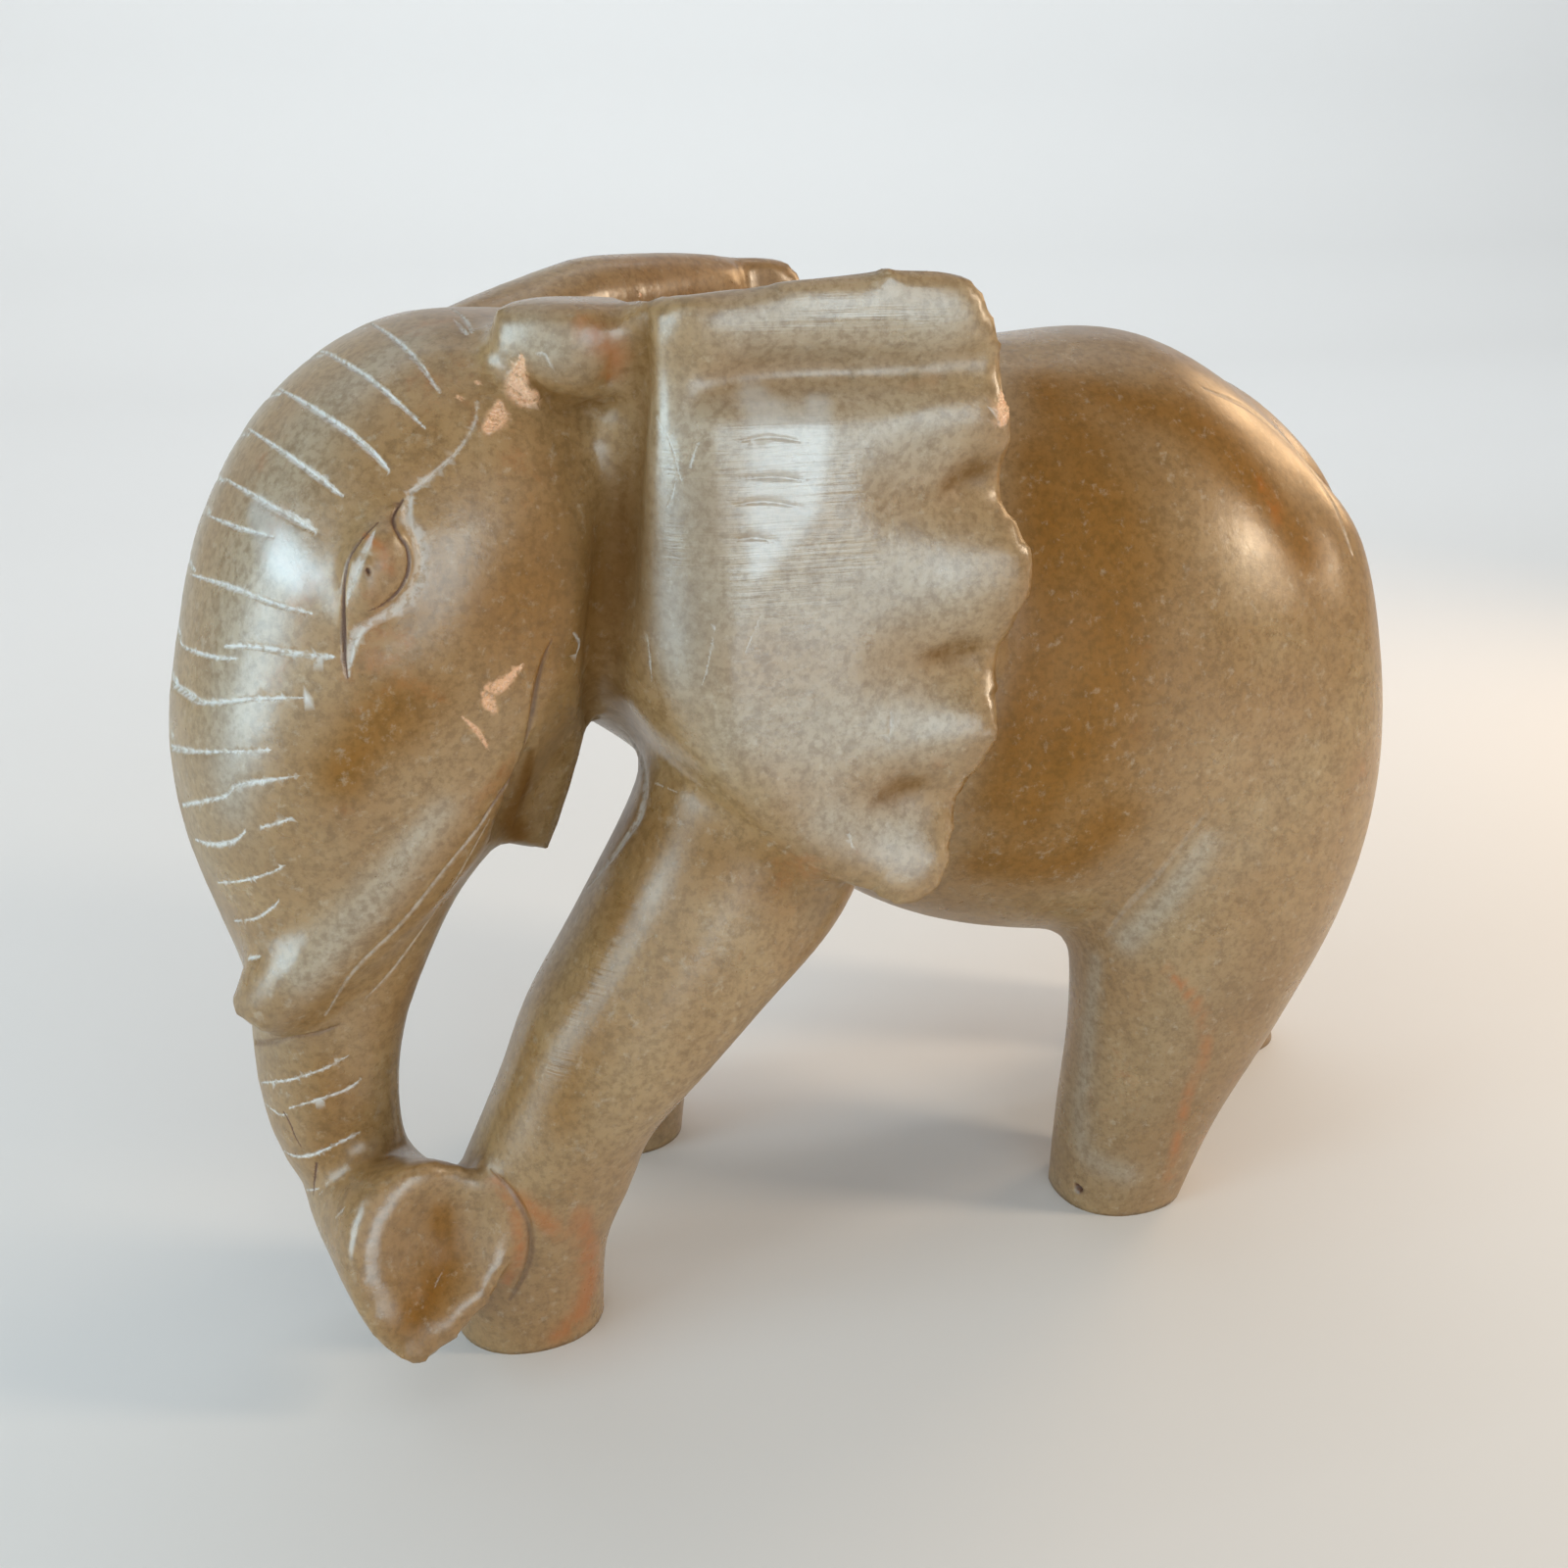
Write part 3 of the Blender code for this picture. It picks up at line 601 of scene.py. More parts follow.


# what is cut into the stone or marks it. Stations are x, y in the photograph and half width in mm. Depth is
# a share of the half width, width narrows every line of a kind, mark says how it is coloured and how
# strongly, mirror draws it on the head's other side too, and grit roughens it. Several marks are painted
# light and shade: shade in hollows, creases and on sides turned from the window, the window's sheen and
# reflection on sides turned to it, and highlights along a few edges
cuts = {
    "browGrooves": {"depth": 1.0, "width": 0.85, "mark": ("cut", 0.85), "mirror": True, "lines": [
        [(452, 312, 0.1), (466, 318, 0.3), (476, 328, 0.35), (482, 340, 0.1)],
        [(463, 325, 0.1), (474, 338, 0.3), (476, 342, 0.1)],
        [(372, 326, 0.15), (398, 342, 0.4), (425, 367, 0.42), (449, 401, 0.1)],
        [(322, 357, 0.15), (338, 362, 0.4), (375, 385, 0.42), (405, 410, 0.35), (433, 436, 0.12)],
        [(284, 396, 0.15), (312, 412, 0.42), (350, 437, 0.48), (380, 462, 0.42), (397, 480, 0.15)],
        [(253, 437, 0.15), (290, 462, 0.38), (325, 488, 0.42), (350, 507, 0.15)],
        [(229, 488, 0.15), (262, 508, 0.4), (298, 529, 0.42), (322, 543, 0.12)],
        [(212, 526, 0.1), (245, 539, 0.35), (279, 548, 0.1)],
        [(194, 586, 0.15), (235, 599, 0.38), (280, 616, 0.4), (318, 626, 0.12)],
        [(182, 650, 0.1), (189, 661, 0.25), (220, 671, 0.28), (244, 672, 0.1)],
        [(229, 659, 0.1), (261, 660, 0.42), (300, 667, 0.48), (334, 670, 0.38), (341, 670, 0.1)],
        [(176, 698, 0.5), (196, 711, 0.7), (210, 717, 0.35), (261, 713, 0.32), (312, 712, 0.08)],
        [(171, 762, 0.5), (190, 766, 0.5), (204, 767, 0.25), (240, 767, 0.2), (275, 765, 0.08)],
        [(186, 822, 0.3), (210, 817, 0.3), (230, 812, 0.28), (240, 802, 0.25), (266, 797, 0.25),
         (305, 792, 0.08)],
        [(199, 857, 0.15), (216, 862, 0.4), (237, 859, 0.35), (251, 848, 0.08)],
        [(265, 845, 0.08), (282, 840, 0.22), (298, 835, 0.08)],
        [(222, 901, 0.12), (246, 899, 0.18), (275, 891, 0.18), (291, 883, 0.08)],
        [(239, 940, 0.12), (261, 937, 0.18), (278, 926, 0.16), (286, 917, 0.08)],
        [(253, 978, 0.1), (259, 977, 0.3), (265, 976, 0.1)],
        [(266, 1105, 0.1), (295, 1102, 0.18), (330, 1091, 0.18), (356, 1077, 0.08)],
        [(270, 1126, 0.1), (284, 1137, 0.16), (293, 1137, 0.08)],
        [(295, 1131, 0.1), (332, 1120, 0.22), (355, 1111, 0.25), (369, 1101, 0.08)],
        [(280, 1166, 0.1), (297, 1179, 0.22), (317, 1179, 0.28), (345, 1167, 0.2), (367, 1155, 0.08)],
        [(290, 1213, 0.1), (307, 1215, 0.22), (326, 1213, 0.08)],
    ]},
    "eyeBand": {"depth": 0.5, "width": 0.92, "mark": ("cut", 0.55), "mirror": True, "lines": [
        [(419, 503, 0.35), (415, 528, 0.9), (425, 548, 1.05), (431, 572, 1.1), (425, 598, 1.1),
         (407, 618, 0.9),
         (385, 632, 0.75), (367, 643, 0.75), (359, 662, 0.6), (355, 690, 0.1)],
        [(382, 540, 0.2), (372, 562, 0.55), (362, 583, 0.6), (356, 602, 0.5), (353, 618, 0.15)],
    ]},
    # painted shade in the eye's crease and its pupil
    "eyeCrease": {"depth": 1.6, "width": 0.8, "mark": ("dark", 0.9), "mirror": True, "lines": [
        [(411, 510, 0.2), (401, 528, 0.32), (407, 545, 0.32), (416, 560, 0.3), (417, 582, 0.3),
         (407, 603, 0.26),
         (390, 618, 0.2), (370, 626, 0.1)],
        [(386, 533, 0.1), (370, 548, 0.24), (357, 566, 0.3), (351, 588, 0.34), (350, 615, 0.36),
         (351, 645, 0.36),
         (352, 672, 0.26), (355, 692, 0.1)],
        [(375, 582, 0.42), (376, 584, 0.42)],
    ]},
    # the brow's raised edge; its pale mark is a painted highlight
    "browLine": {"depth": 0.6, "mark": ("cut", 0.45), "mirror": True, "lines": [
        [(487, 408, 0.08), (484, 432, 0.16), (468, 459, 0.2), (450, 477, 0.28), (432, 493, 0.36),
         (417, 504, 0.3)],
    ]},
    # painted shade in the mouth's slit
    "mouth": {"depth": 1.1, "width": 0.8, "mark": ("dark", 0.5), "mirror": True, "lines": [
        [(564, 651, 0.08), (555, 671, 0.3), (548, 699, 0.5), (542, 734, 0.5), (535, 765, 0.35),
         (525, 788, 0.4),
         (512, 808, 0.35), (497, 830, 0.3), (487, 847, 0.15)],
    ]},
    "tuskCreases": {"depth": 0.8, "mark": ("cut", 0.3), "lines": [
        [(512, 805, 0.12), (491, 841, 0.3), (454, 887, 0.3), (410, 942, 0.35), (362, 990, 0.35),
         (332, 1036, 0.12)],
        [(500, 836, 0.12), (466, 897, 0.24), (434, 944, 0.28), (400, 990, 0.25), (372, 1020, 0.1)],
    ]},
    # painted shade under the tusk's ledge
    "tuskLedge": {"depth": 0.7, "mark": ("dark", 0.35), "lines": [
        [(244, 1056, 0.3), (262, 1064, 0.5), (289, 1061, 0.45), (320, 1055, 0.4), (350, 1045, 0.15)],
    ]},
    "cracks": {"depth": 0.9, "mark": ("dark", 1.0), "lines": [
        [(289, 1135, 0.16), (296, 1147, 0.14), (301, 1160, 0.12), (307, 1170, 0.08)],
        [(323, 1187, 0.14), (321, 1204, 0.16), (320, 1220, 0.08)],
    ]},
    "archRim": {"depth": 0.28, "mark": ("cut", 0.5), "lines": [
        [(632, 742, 0.4), (646, 757, 0.9), (656, 780, 1.0), (658, 805, 1.0), (653, 832, 0.9),
         (640, 853, 0.7),
         (622, 878, 0.6), (600, 905, 0.3)],
    ]},
    "scratches": {"depth": 0.5, "width": 0.7, "mark": ("cut", 0.5), "lines": [
        [(585, 646, 0.1), (593, 657, 0.35), (589, 669, 0.1)],
        [(546, 360, 0.1), (556, 362, 0.25), (561, 372, 0.1)],
        [(668, 799, 0.1), (690, 808, 0.06)],
        # a painted highlight line on the ear's roll
        [(660, 646, 0.06), (663, 672, 0.14), (665, 696, 0.06)],
        [(352, 1231, 0.06), (348, 1236, 0.2), (342, 1243, 0.06)],
        [(335, 1206, 0.06), (329, 1216, 0.14), (326, 1219, 0.06)],
        [(454, 1292, 0.06), (447, 1306, 0.14), (440, 1322, 0.06)],
        [(908, 726, 0.08), (909, 740, 0.3), (907, 752, 0.08)],
        [(866, 848, 0.08), (868, 858, 0.22), (871, 866, 0.08)],
        [(668, 425, 0.06), (684, 452, 0.14), (695, 490, 0.06)],
        [(712, 452, 0.06), (706, 470, 0.2), (704, 478, 0.06)],
        [(690, 488, 0.06), (686, 506, 0.14), (680, 520, 0.06)],
        [(730, 640, 0.06), (722, 680, 0.1), (716, 700, 0.06)],
        [(778, 625, 0.06), (765, 655, 0.1), (760, 668, 0.06)],
    ]},
    "haunchFold": {"depth": 0.3, "mark": ("cut", 0.12), "lines": [
        [(1128, 955, 0.3), (1150, 925, 0.5), (1178, 895, 0.6), (1205, 862, 0.5), (1232, 828, 0.2)],
    ]},
    # the valley between cheek and ear, cut deeper and painted with shade
    "valleys": {"depth": 0.85, "mark": ("paintedDeepShade", 0.55), "mirror": True, "lines": [
        [(657, 322, 1.2), (646, 400, 3.2), (636, 480, 3.8), (628, 560, 3.8), (618, 640, 3.6),
         (608, 705, 2.8),
         (602, 735, 1.2)],
        [(536, 385, 0.6), (566, 410, 1.5), (610, 418, 1.8), (648, 400, 1.4)],
    ]},
    # painted shade in the valley under the ear's upper band
    "earFold": {"depth": 0.3, "mark": ("paintedDeepShade", 0.15), "lines": [
        [(690, 432, 1.0), (730, 398, 3.0), (790, 384, 3.6), (860, 380, 3.6), (930, 376, 3.2),
         (1000, 362, 2.0)],
    ]},
    # painted shade in the hollows along the ear's free edge
    "earScoops": {"depth": 0.25, "mark": ("paintedDeepShade", 0.5), "lines": [
        [(960, 500, 1.5), (985, 485, 3.0), (1005, 478, 2.0)],
        [(945, 672, 1.5), (975, 665, 3.0), (995, 662, 2.0)],
        [(895, 815, 1.5), (920, 805, 3.0), (940, 800, 2.0)],
    ]},
    "rust": {"mark": ("rust", 0.8), "lines": [
        [(592, 1236, 1.5), (602, 1285, 3.0), (596, 1335, 3.4), (570, 1362, 2.0)],
        [(505, 1205, 1.0), (545, 1235, 2.0), (570, 1262, 1.5)],
        [(512, 1215, 0.5), (527, 1245, 1.2), (529, 1285, 1.3), (514, 1312, 0.8)],
        [(592, 330, 1.0), (612, 345, 2.2), (628, 365, 2.0), (622, 385, 1.0)],
        [(1284, 490, 0.8), (1300, 515, 1.6), (1305, 535, 0.8)],
        [(898, 388, 0.3), (930, 390, 0.6), (962, 388, 0.3)],
        [(372, 545, 0.5), (388, 560, 1.0), (396, 580, 0.9)],
        [(1190, 985, 0.6), (1230, 1050, 1.0), (1210, 1130, 1.0), (1195, 1200, 1.4)],
    ]},
    # the pale mark along the tail's valley is a painted highlight
    "tailLine": {"depth": 0.3, "mark": ("cut", 0.2), "lines": [
        [(1228, 396, 0.3), (1262, 410, 0.7), (1292, 430, 0.8), (1328, 467, 0.8), (1360, 512, 0.7),
         (1380, 566, 0.3)],
    ]},
    # painted sheen: paler, greyer colour where the window's light falls, on the ears, forehead, tusk and the
    # hind leg's edges
    "paintedSheen": {"mark": ("paintedSheen", 1.0), "mirror": True, "lines": [
        [(760, 330, 6), (860, 330, 7), (960, 330, 6)],
        [(740, 450, 10), (840, 450, 13), (940, 450, 9)],
        [(730, 600, 10), (840, 600, 14), (960, 600, 10)],
        [(760, 740, 9), (860, 740, 11), (950, 740, 8)],
        [(850, 840, 6), (920, 850, 6)],
        [(420, 345, 4), (330, 420, 8), (270, 520, 10), (240, 620, 10), (230, 720, 8), (235, 820, 5)],
        [(450, 830, 3), (380, 920, 4), (310, 1000, 4)],
        [(540, 340, 5), (562, 355, 5)],
        [(694, 440, 6), (700, 560, 9), (695, 680, 7)],
        [(1118, 980, 2), (1108, 1080, 3), (1104, 1170, 3), (1150, 1200, 3)],
        [(1230, 860, 3), (1190, 920, 3), (1150, 960, 3)],
    ]},
    # painted warm shade: darker, deeper brown on the flank in the ear's shadow, the rump, belly, cheek and
    # trunk
    "paintedShade": {"mark": ("paintedShade", 1.0), "lines": [
        [(1070, 400, 8), (1110, 480, 15), (1130, 600, 19), (1110, 720, 18), (1050, 830, 12)],
        [(1060, 470, 6), (1075, 600, 8), (1050, 720, 8), (1020, 810, 6)],
        [(400, 720, 7), (350, 790, 6)],
        [(1120, 400, 6), (1230, 440, 9), (1330, 560, 9)],
        [(1010, 880, 8), (1080, 880, 9), (1130, 840, 9)],
        [(450, 1240, 3), (455, 1290, 5), (420, 1350, 4)],
    ]},
    # fainter painted warm shade on the cheek, foreleg and trunk
    "faintPaintedShade": {"mark": ("paintedShade", 0.55), "lines": [
        [(560, 440, 8), (575, 560, 11), (565, 660, 9)],
        [(520, 600, 8), (460, 690, 9), (420, 740, 7)],
        [(690, 850, 9), (790, 890, 9)],
        [(640, 940, 6), (600, 1040, 6), (570, 1130, 6)],
        [(330, 1090, 5), (340, 1180, 5)],
    ]},
    # painted shade in the crease between cup and foot
    "cupCrease": {"depth": 0.8, "mark": ("dark", 0.35), "lines": [
        [(500, 1192, 0.1), (524, 1218, 0.5), (541, 1254, 0.6), (538, 1292, 0.6), (520, 1326, 0.3)],
    ]},
    # painted shade on the jaw's facet
    "jawShade": {"mark": ("paintedDeepShade", 0.75), "lines": [
        [(543, 770, 1.0), (535, 805, 2.2), (522, 838, 3.2), (530, 852, 2.6)],
    ]},
    # painted reflection of the window: pale colour on the ear's face and the forehead, under a clear coat
    "paintedReflection": {"mark": ("paintedReflection", 1.0), "lines": [
        [(770, 402, 3.5), (790, 440, 6.0), (792, 500, 6.5), (785, 550, 5.0), (775, 580, 2.5)],
        [(835, 410, 2.5), (830, 450, 3.5), (815, 520, 3.5)],
        [(262, 520, 3), (285, 560, 5), (310, 590, 4)],
    ]},
    "bars": {"depth": 0.45, "mark": ("cut", 0.0), "lines": [
        [(748, 452, 0.1), (785, 446, 0.45), (830, 452, 0.1)],
        [(748, 490, 0.1), (790, 487, 0.5), (824, 491, 0.1)],
        [(745, 516, 0.1), (780, 512, 0.45), (820, 518, 0.1)],
        [(748, 552, 0.1), (770, 549, 0.45), (795, 553, 0.1)],
    ]},
    "filing": {"mark": ("filed", 1.0), "lines": [
        [(700, 470, 4), (760, 470, 9), (830, 480, 9), (880, 490, 4)],
        [(700, 560, 4), (760, 570, 8), (830, 570, 8), (880, 560, 4)],
        [(760, 340, 3), (860, 330, 4), (950, 325, 3)],
        [(1110, 1160, 2), (1125, 1170, 3), (1150, 1180, 2)],
        [(640, 900, 3), (610, 990, 5), (570, 1080, 5)],
    ]},
    # painted shade in the drilled hole
    "footHole": {"depth": 1.6, "mark": ("dark", 0.9), "lines": [
        [(1099, 1212, 0.75), (1101, 1214, 0.75)],
    ]},
    # chips: their copper colour is partly the fresh fracture and partly a painted glint of the warm lamp
    "chips": {"depth": 0.22, "mark": ("chipAndGlint", 1.0), "grit": 0.10, "lines": [
        [(532, 364, 0.3), (530, 380, 1.0), (528, 396, 1.5), (538, 405, 1.3), (556, 402, 0.3)],
        [(510, 412, 0.5), (508, 425, 1.2), (498, 437, 0.7)],
        [(534, 678, 0.2), (520, 692, 0.7), (508, 701, 1.0), (497, 702, 0.4)],
        [(494, 708, 0.4), (499, 717, 0.9), (504, 724, 0.5)],
        [(471, 731, 0.1), (487, 746, 0.35), (497, 762, 0.2)],
        [(1024, 402, 0.5), (1026, 416, 1.5), (1024, 430, 0.8)],
        [(468, 405, 0.3), (470, 406, 0.3)],
        [(487, 390, 0.25), (488, 391, 0.25)],
        [(653, 300, 0.25), (654, 301, 0.25)],
    ]},
}

tree = stoneTree(stoneMesh)
drawn = []
for kind, plan in cuts.items():
    for stations in plan["lines"]:
        line = onStone(stations, tree, plan.get("width", 1.0))
        if len(line) < 2:
            print("misses the stone:", kind, stations[0])
            continue
        drawn.append((plan, line, True))
        across = acrossHead(line, tree) if plan.get("mirror") else []
        if len(across) > 1:
            drawn.append((plan, across, False))
print("lines drawn:", len(drawn))


# flat faces cut off the stone: corners x, y in the photograph and how far each is sunk, in mm
facets = {
    "jaw": [(548, 742, 0.0), (546, 858, 0.3), (512, 838, 2.6)],
}
facetCut = {
    "reach": 14,  # mm around the facet's middle
    "deepest": 6,  # mm
    "fade": 0.12,  # share of the facet over which it runs out beyond its edge
    "edge": 0.6,  # mm, half width of the finer skin along its edge
    "along": (0, 0.25, 0.5, 0.75),  # where that skin is laid along each edge
}


def facetPlane(corners, tree):
    # the corners on the stone, each sunk along the stone's mean normal there, and the plane through them
    start = Vector(view["spot"]) * mm
    rows = np.array(corners, float)
    hits = [tree.ray_cast(start, Vector(ray)) for ray in throughPixels(rows[:, :2])]
    if any(hit[0] is None for hit in hits):
        return None
    spots = np.array([hit[0] / mm for hit in hits])
    outward = unit(np.array([hit[1] for hit in hits]).sum(axis=0))
    spots = spots - outward * rows[:, 2:]
    flat = unit(np.cross(spots[1] - spots[0], spots[2] - spots[0]))
    return spots, flat * np.sign(flat @ outward)


planes = {}
for name, corners in facets.items():
    found = facetPlane(corners, tree)
    if found is None:
        print("misses the stone:", name)
        continue
    planes[name] = found
    spots = found[0]
    edges = np.vstack([spots + (spots[[1, 2, 0]] - spots) * share for share in facetCut["along"]])
    edges = np.repeat(edges, 2, axis=0)
    edges = np.hstack([edges, np.full((len(edges), 1), facetCut["edge"])])
    drawn.append(({"mark": ("dark", 0)}, edges, True))


def cutFacet(points, spots, flat):
    # points outside the plane, and inside the triangle seen along its normal, are laid onto the plane
    centre = spots.mean(axis=0)
    index = np.nonzero(np.linalg.norm(points - centre, axis=1) < facetCut["reach"])[0]
    offset = points[index] - spots[0]
    height = offset @ flat
    a, b = spots[1] - spots[0], spots[2] - spots[0]
    inPlane = offset - height[:, None] * flat
    u, v = np.linalg.lstsq(np.stack([a, b], axis=1), inPlane.T, rcond=None)[0]
    edge = np.minimum(np.minimum(u, v), 1 - u - v)
    inside = np.clip(edge / facetCut["fade"] + 1, 0, 1)
    lower = np.where((height > 0) & (height < facetCut["deepest"]), height * inside, 0)
    points[index] -= lower[:, None] * flat


def meshEdges(data):
    edges = np.empty(len(data.edges) * 2, np.int32)
    data.edges.foreach_get("vertices", edges)
    return edges.reshape(-1, 2).T


def pointsNear(points, lines, margin):
    # which points lie within the half width plus a margin of any line
    near = np.zeros(len(points), bool)
    for line in lines:
        index, distance, half = nearLine(points, line, margin + line[:, 3].max())
        near[index[distance < half + margin]] = True
    return near


def relax(data, near, passes):
    # each chosen point moves half way to the mean of its neighbours, over and over
    points = meshPoints(data)
    a, b = meshEdges(data)
    keep = near[a] | near[b]
    a, b = a[keep], b[keep]
    count = np.maximum(np.bincount(a, minlength=len(points)) + np.bincount(b, minlength=len(points)), 1)
    for _ in range(passes):
        total = np.stack([
            np.bincount(a, points[b, i], len(points)) + np.bincount(b, points[a, i], len(points))
            for i in range(3)
        ], axis=1)
        points[near] += 0.5 * (total / count[:, None] - points)[near]
    setPoints(data, points)


fineSkin = {
    "everyLine": 1.8,  # mm of finer skin beyond a line's half width
    "shownLines": (0.9, 0.25),  # mm, finer again beside the lines on the side in view
    "passes": 5,  # of relaxing after each
    "ground": 1,  # mm, below which the skin keeps its place
}


def refine(data, lines, margin):
    # edges near the lines are split in two, and the finer patch is relaxed onto a smooth skin
    near = pointsNear(meshPoints(data), lines, margin)
    stone = bmesh.new()
    stone.from_mesh(data)
    chosen = [edge for edge in stone.edges if near[edge.verts[0].index] and near[edge.verts[1].index]]
    bmesh.ops.subdivide_edges(stone, edges=chosen, cuts=1, use_grid_fill=True)
    stone.to_mesh(data)
    stone.free()
    points = meshPoints(data)
    relax(data, pointsNear(points, lines, margin) & (points[:, 2] > fineSkin["ground"]), fineSkin["passes"])


softMarks = ("rust", "filed", "paintedDeepShade", "paintedSheen", "paintedShade", "paintedReflection")
everyLine = [line for plan, line, _ in drawn if plan["mark"][0] not in softMarks]
shownLines = [line for plan, line, shown in drawn if shown and plan["mark"][0] not in softMarks]
for lines, margin in [(everyLine, fineSkin["everyLine"]), *((shownLines, m) for m in fineSkin["shownLines"])]:
    refine(stoneMesh, lines, margin)
    print("refined:", len(stoneMesh.vertices), "points")


carving = {
    "fall": 1.6,  # how fast the bell falls away from the line
    "reach": 2.2,  # half widths out to which a cut is worked; a hard mark ends at reach / fall
    "seed": 7,
}
chance = np.random.default_rng(carving["seed"])
points = meshPoints(stoneMesh)
facing = pointValues(stoneMesh, "normal")
marks = {name: np.zeros(len(points)) for name in ("cut", "dark", "chipAndGlint", *softMarks)}
for spots, flat in planes.values():
    cutFacet(points, spots, flat)
for plan, line, _ in drawn:
    # depth and soft marks fall off as a bell from the line, hard marks fade from just inside the half width
    index, distance, half = nearLine(points, line, carving["reach"] * line[:, 3].max())
    across = distance / half
    bell = np.exp(-carving["fall"] * across**2)
    rough = plan.get("grit", 0) * chance.normal(size=len(index)) * (across < 1)
    points[index] -= facing[index] * (plan.get("depth", 0) * half * bell + rough)[:, None]
    name, strength = plan["mark"]
    if name in softMarks:
        marks[name][index] = 1 - (1 - marks[name][index]) * (1 - strength * bell)
    else:
        edge = np.clip(carving["reach"] - carving["fall"] * across, 0, 1)
        marks[name][index] = np.maximum(marks[name][index], strength * edge)
setPoints(stoneMesh, points)


def paint(data, name, values):
    layer = data.attributes.new(name, "FLOAT", "POINT")
    layer.data.foreach_set("value", values.astype(np.float32))


for name, values in marks.items():
    paint(stoneMesh, name, values)
stoneMesh.shade_smooth()
stone = placed("stone", stoneMesh)
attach(stone, "root")
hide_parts("elephant")
print("stone carved:", sum(len(f.vertices) - 2 for f in stoneMesh.polygons), "triangles")


# colours of the polished stone and of what marks it, painted shade, sheen, reflection and glints among them
finish = {
    "base": (0.33, 0.185, 0.068),
    "dark": (0.15, 0.075, 0.018),
    "pale": (0.39, 0.25, 0.115),
    # painted sheen of the window
    "paintedSheen": (0.42, 0.34, 0.24),
    # painted warm shade
    "paintedShade": (0.24, 0.095, 0.010),
    # painted deep shade in hollows and on facets turned from the window
    "paintedDeepShade": (0.13, 0.05, 0.008),
    "speck": (0.62, 0.54, 0.42),
    # painted reflection of the window
    "paintedReflection": (0.62, 0.62, 0.60),
    # the pale of the cuts, also laid as a painted highlight along the brow, the tail's valley and the ear's
    # roll
    "cut": (0.70, 0.68, 0.64),
    # chips, with a painted glint of the warm lamp
    "chipAndGlint": (0.80, 0.46, 0.26),
    # painted shade in creases, slits and the hole; the cracks get the same dark
    "creaseShade": (0.10, 0.032, 0.010),
    "rust": (0.40, 0.125, 0.018),
}

# laid over the base in this order: colour, how far it covers as a share, a painted mark, that mark's own
# fade from low to high, and noise (size per metre, detail, roughness) with what it is stretched from and to
layers = [
    {"colour": "pale", "noise": (38, 6, 0.6), "stretch": (0.36, 0.66, 0.0, 1.0)},
    # painted sheen where the window falls
    {"colour": "paintedSheen", "mark": "paintedSheen", "share": 0.8},
    # painted warm shade
    {"colour": "paintedShade", "mark": "paintedShade", "share": 0.75},
    {"colour": "dark", "noise": (15, 3, 0.6), "stretch": (0.48, 0.72, 0.0, 0.5)},
    {"colour": "dark", "noise": (850, 4, 0.65), "stretch": (0.42, 0.66, 0.0, 0.46)},
    {"colour": "dark", "noise": (330, 6, 0.75), "stretch": (0.46, 0.66, 0.0, 0.34)},
    {"colour": "speck", "noise": (520, 5, 0.7), "stretch": (0.55, 0.72, 0.0, 0.24)},
    {"colour": "rust", "noise": (22, 8, 0.75), "stretch": (0.60, 0.70, 0.0, 0.4)},
    # painted deep shade
    {"colour": "paintedDeepShade", "mark": "paintedDeepShade"},
    # painted reflection of the window
    {"colour": "paintedReflection", "mark": "paintedReflection", "fade": (0.15, 0.95), "share": 0.4},
    {"colour": "rust", "mark": "rust", "noise": (160, 5, 0.7), "stretch": (0.30, 0.55, 0.0, 1.0)},
    {"colour": "cut", "mark": "cut", "noise": (900, 3, 0.6), "stretch": (0.36, 0.56, 0.35, 1.0)},
    # painted shade in creases and slits
    {"colour": "creaseShade", "mark": "dark"},
    # chips, with a painted glint
    {"colour": "chipAndGlint", "mark": "chipAndGlint", "noise": (1300, 3, 0.6), "stretch": (0.35, 0.5, 0.45, 1.0)},
]

polish = {
    "noise": (60, 5, 0.6),
    "roughness": (0.3, 0.7, 0.24, 0.40),  # the noise from low to high, the roughness from least to most
    "rougher": {"cut": 0.3, "dark": 0.3, "paintedDeepShade": 0.25},
    "paintedReflection": (0.15, 0.95, 0.0, 0.85),
    "reflectionCoatRoughness": 0.16,
    "depth": 0.1,  # how much light goes into the stone
    "depthColour": (1.0, 0.5, 0.2),
    "depthReach": 0.002,  # m
    "refraction": 1.58,
    "shine": 0.7,
    # more shine where the sheen is painted
    "paintedSheenShine": 0.3,
    # less shine where the warm shade is painted
    "paintedShadeDull": 0.6,
    # less shine where the deep shade is painted
    "paintedDeepShadeDull": 1.2,
    "leastShine": 0.04,
    "pores": (420, 4, 0.65),
    "grit": (1800, 3),
    "gritHeight": 6.0,
    "fileMarks": (50, 1400),
    "fileHeight": 2.2,
    "bump": 0.2,
    "bumpHeight": 0.0003,  # m
}


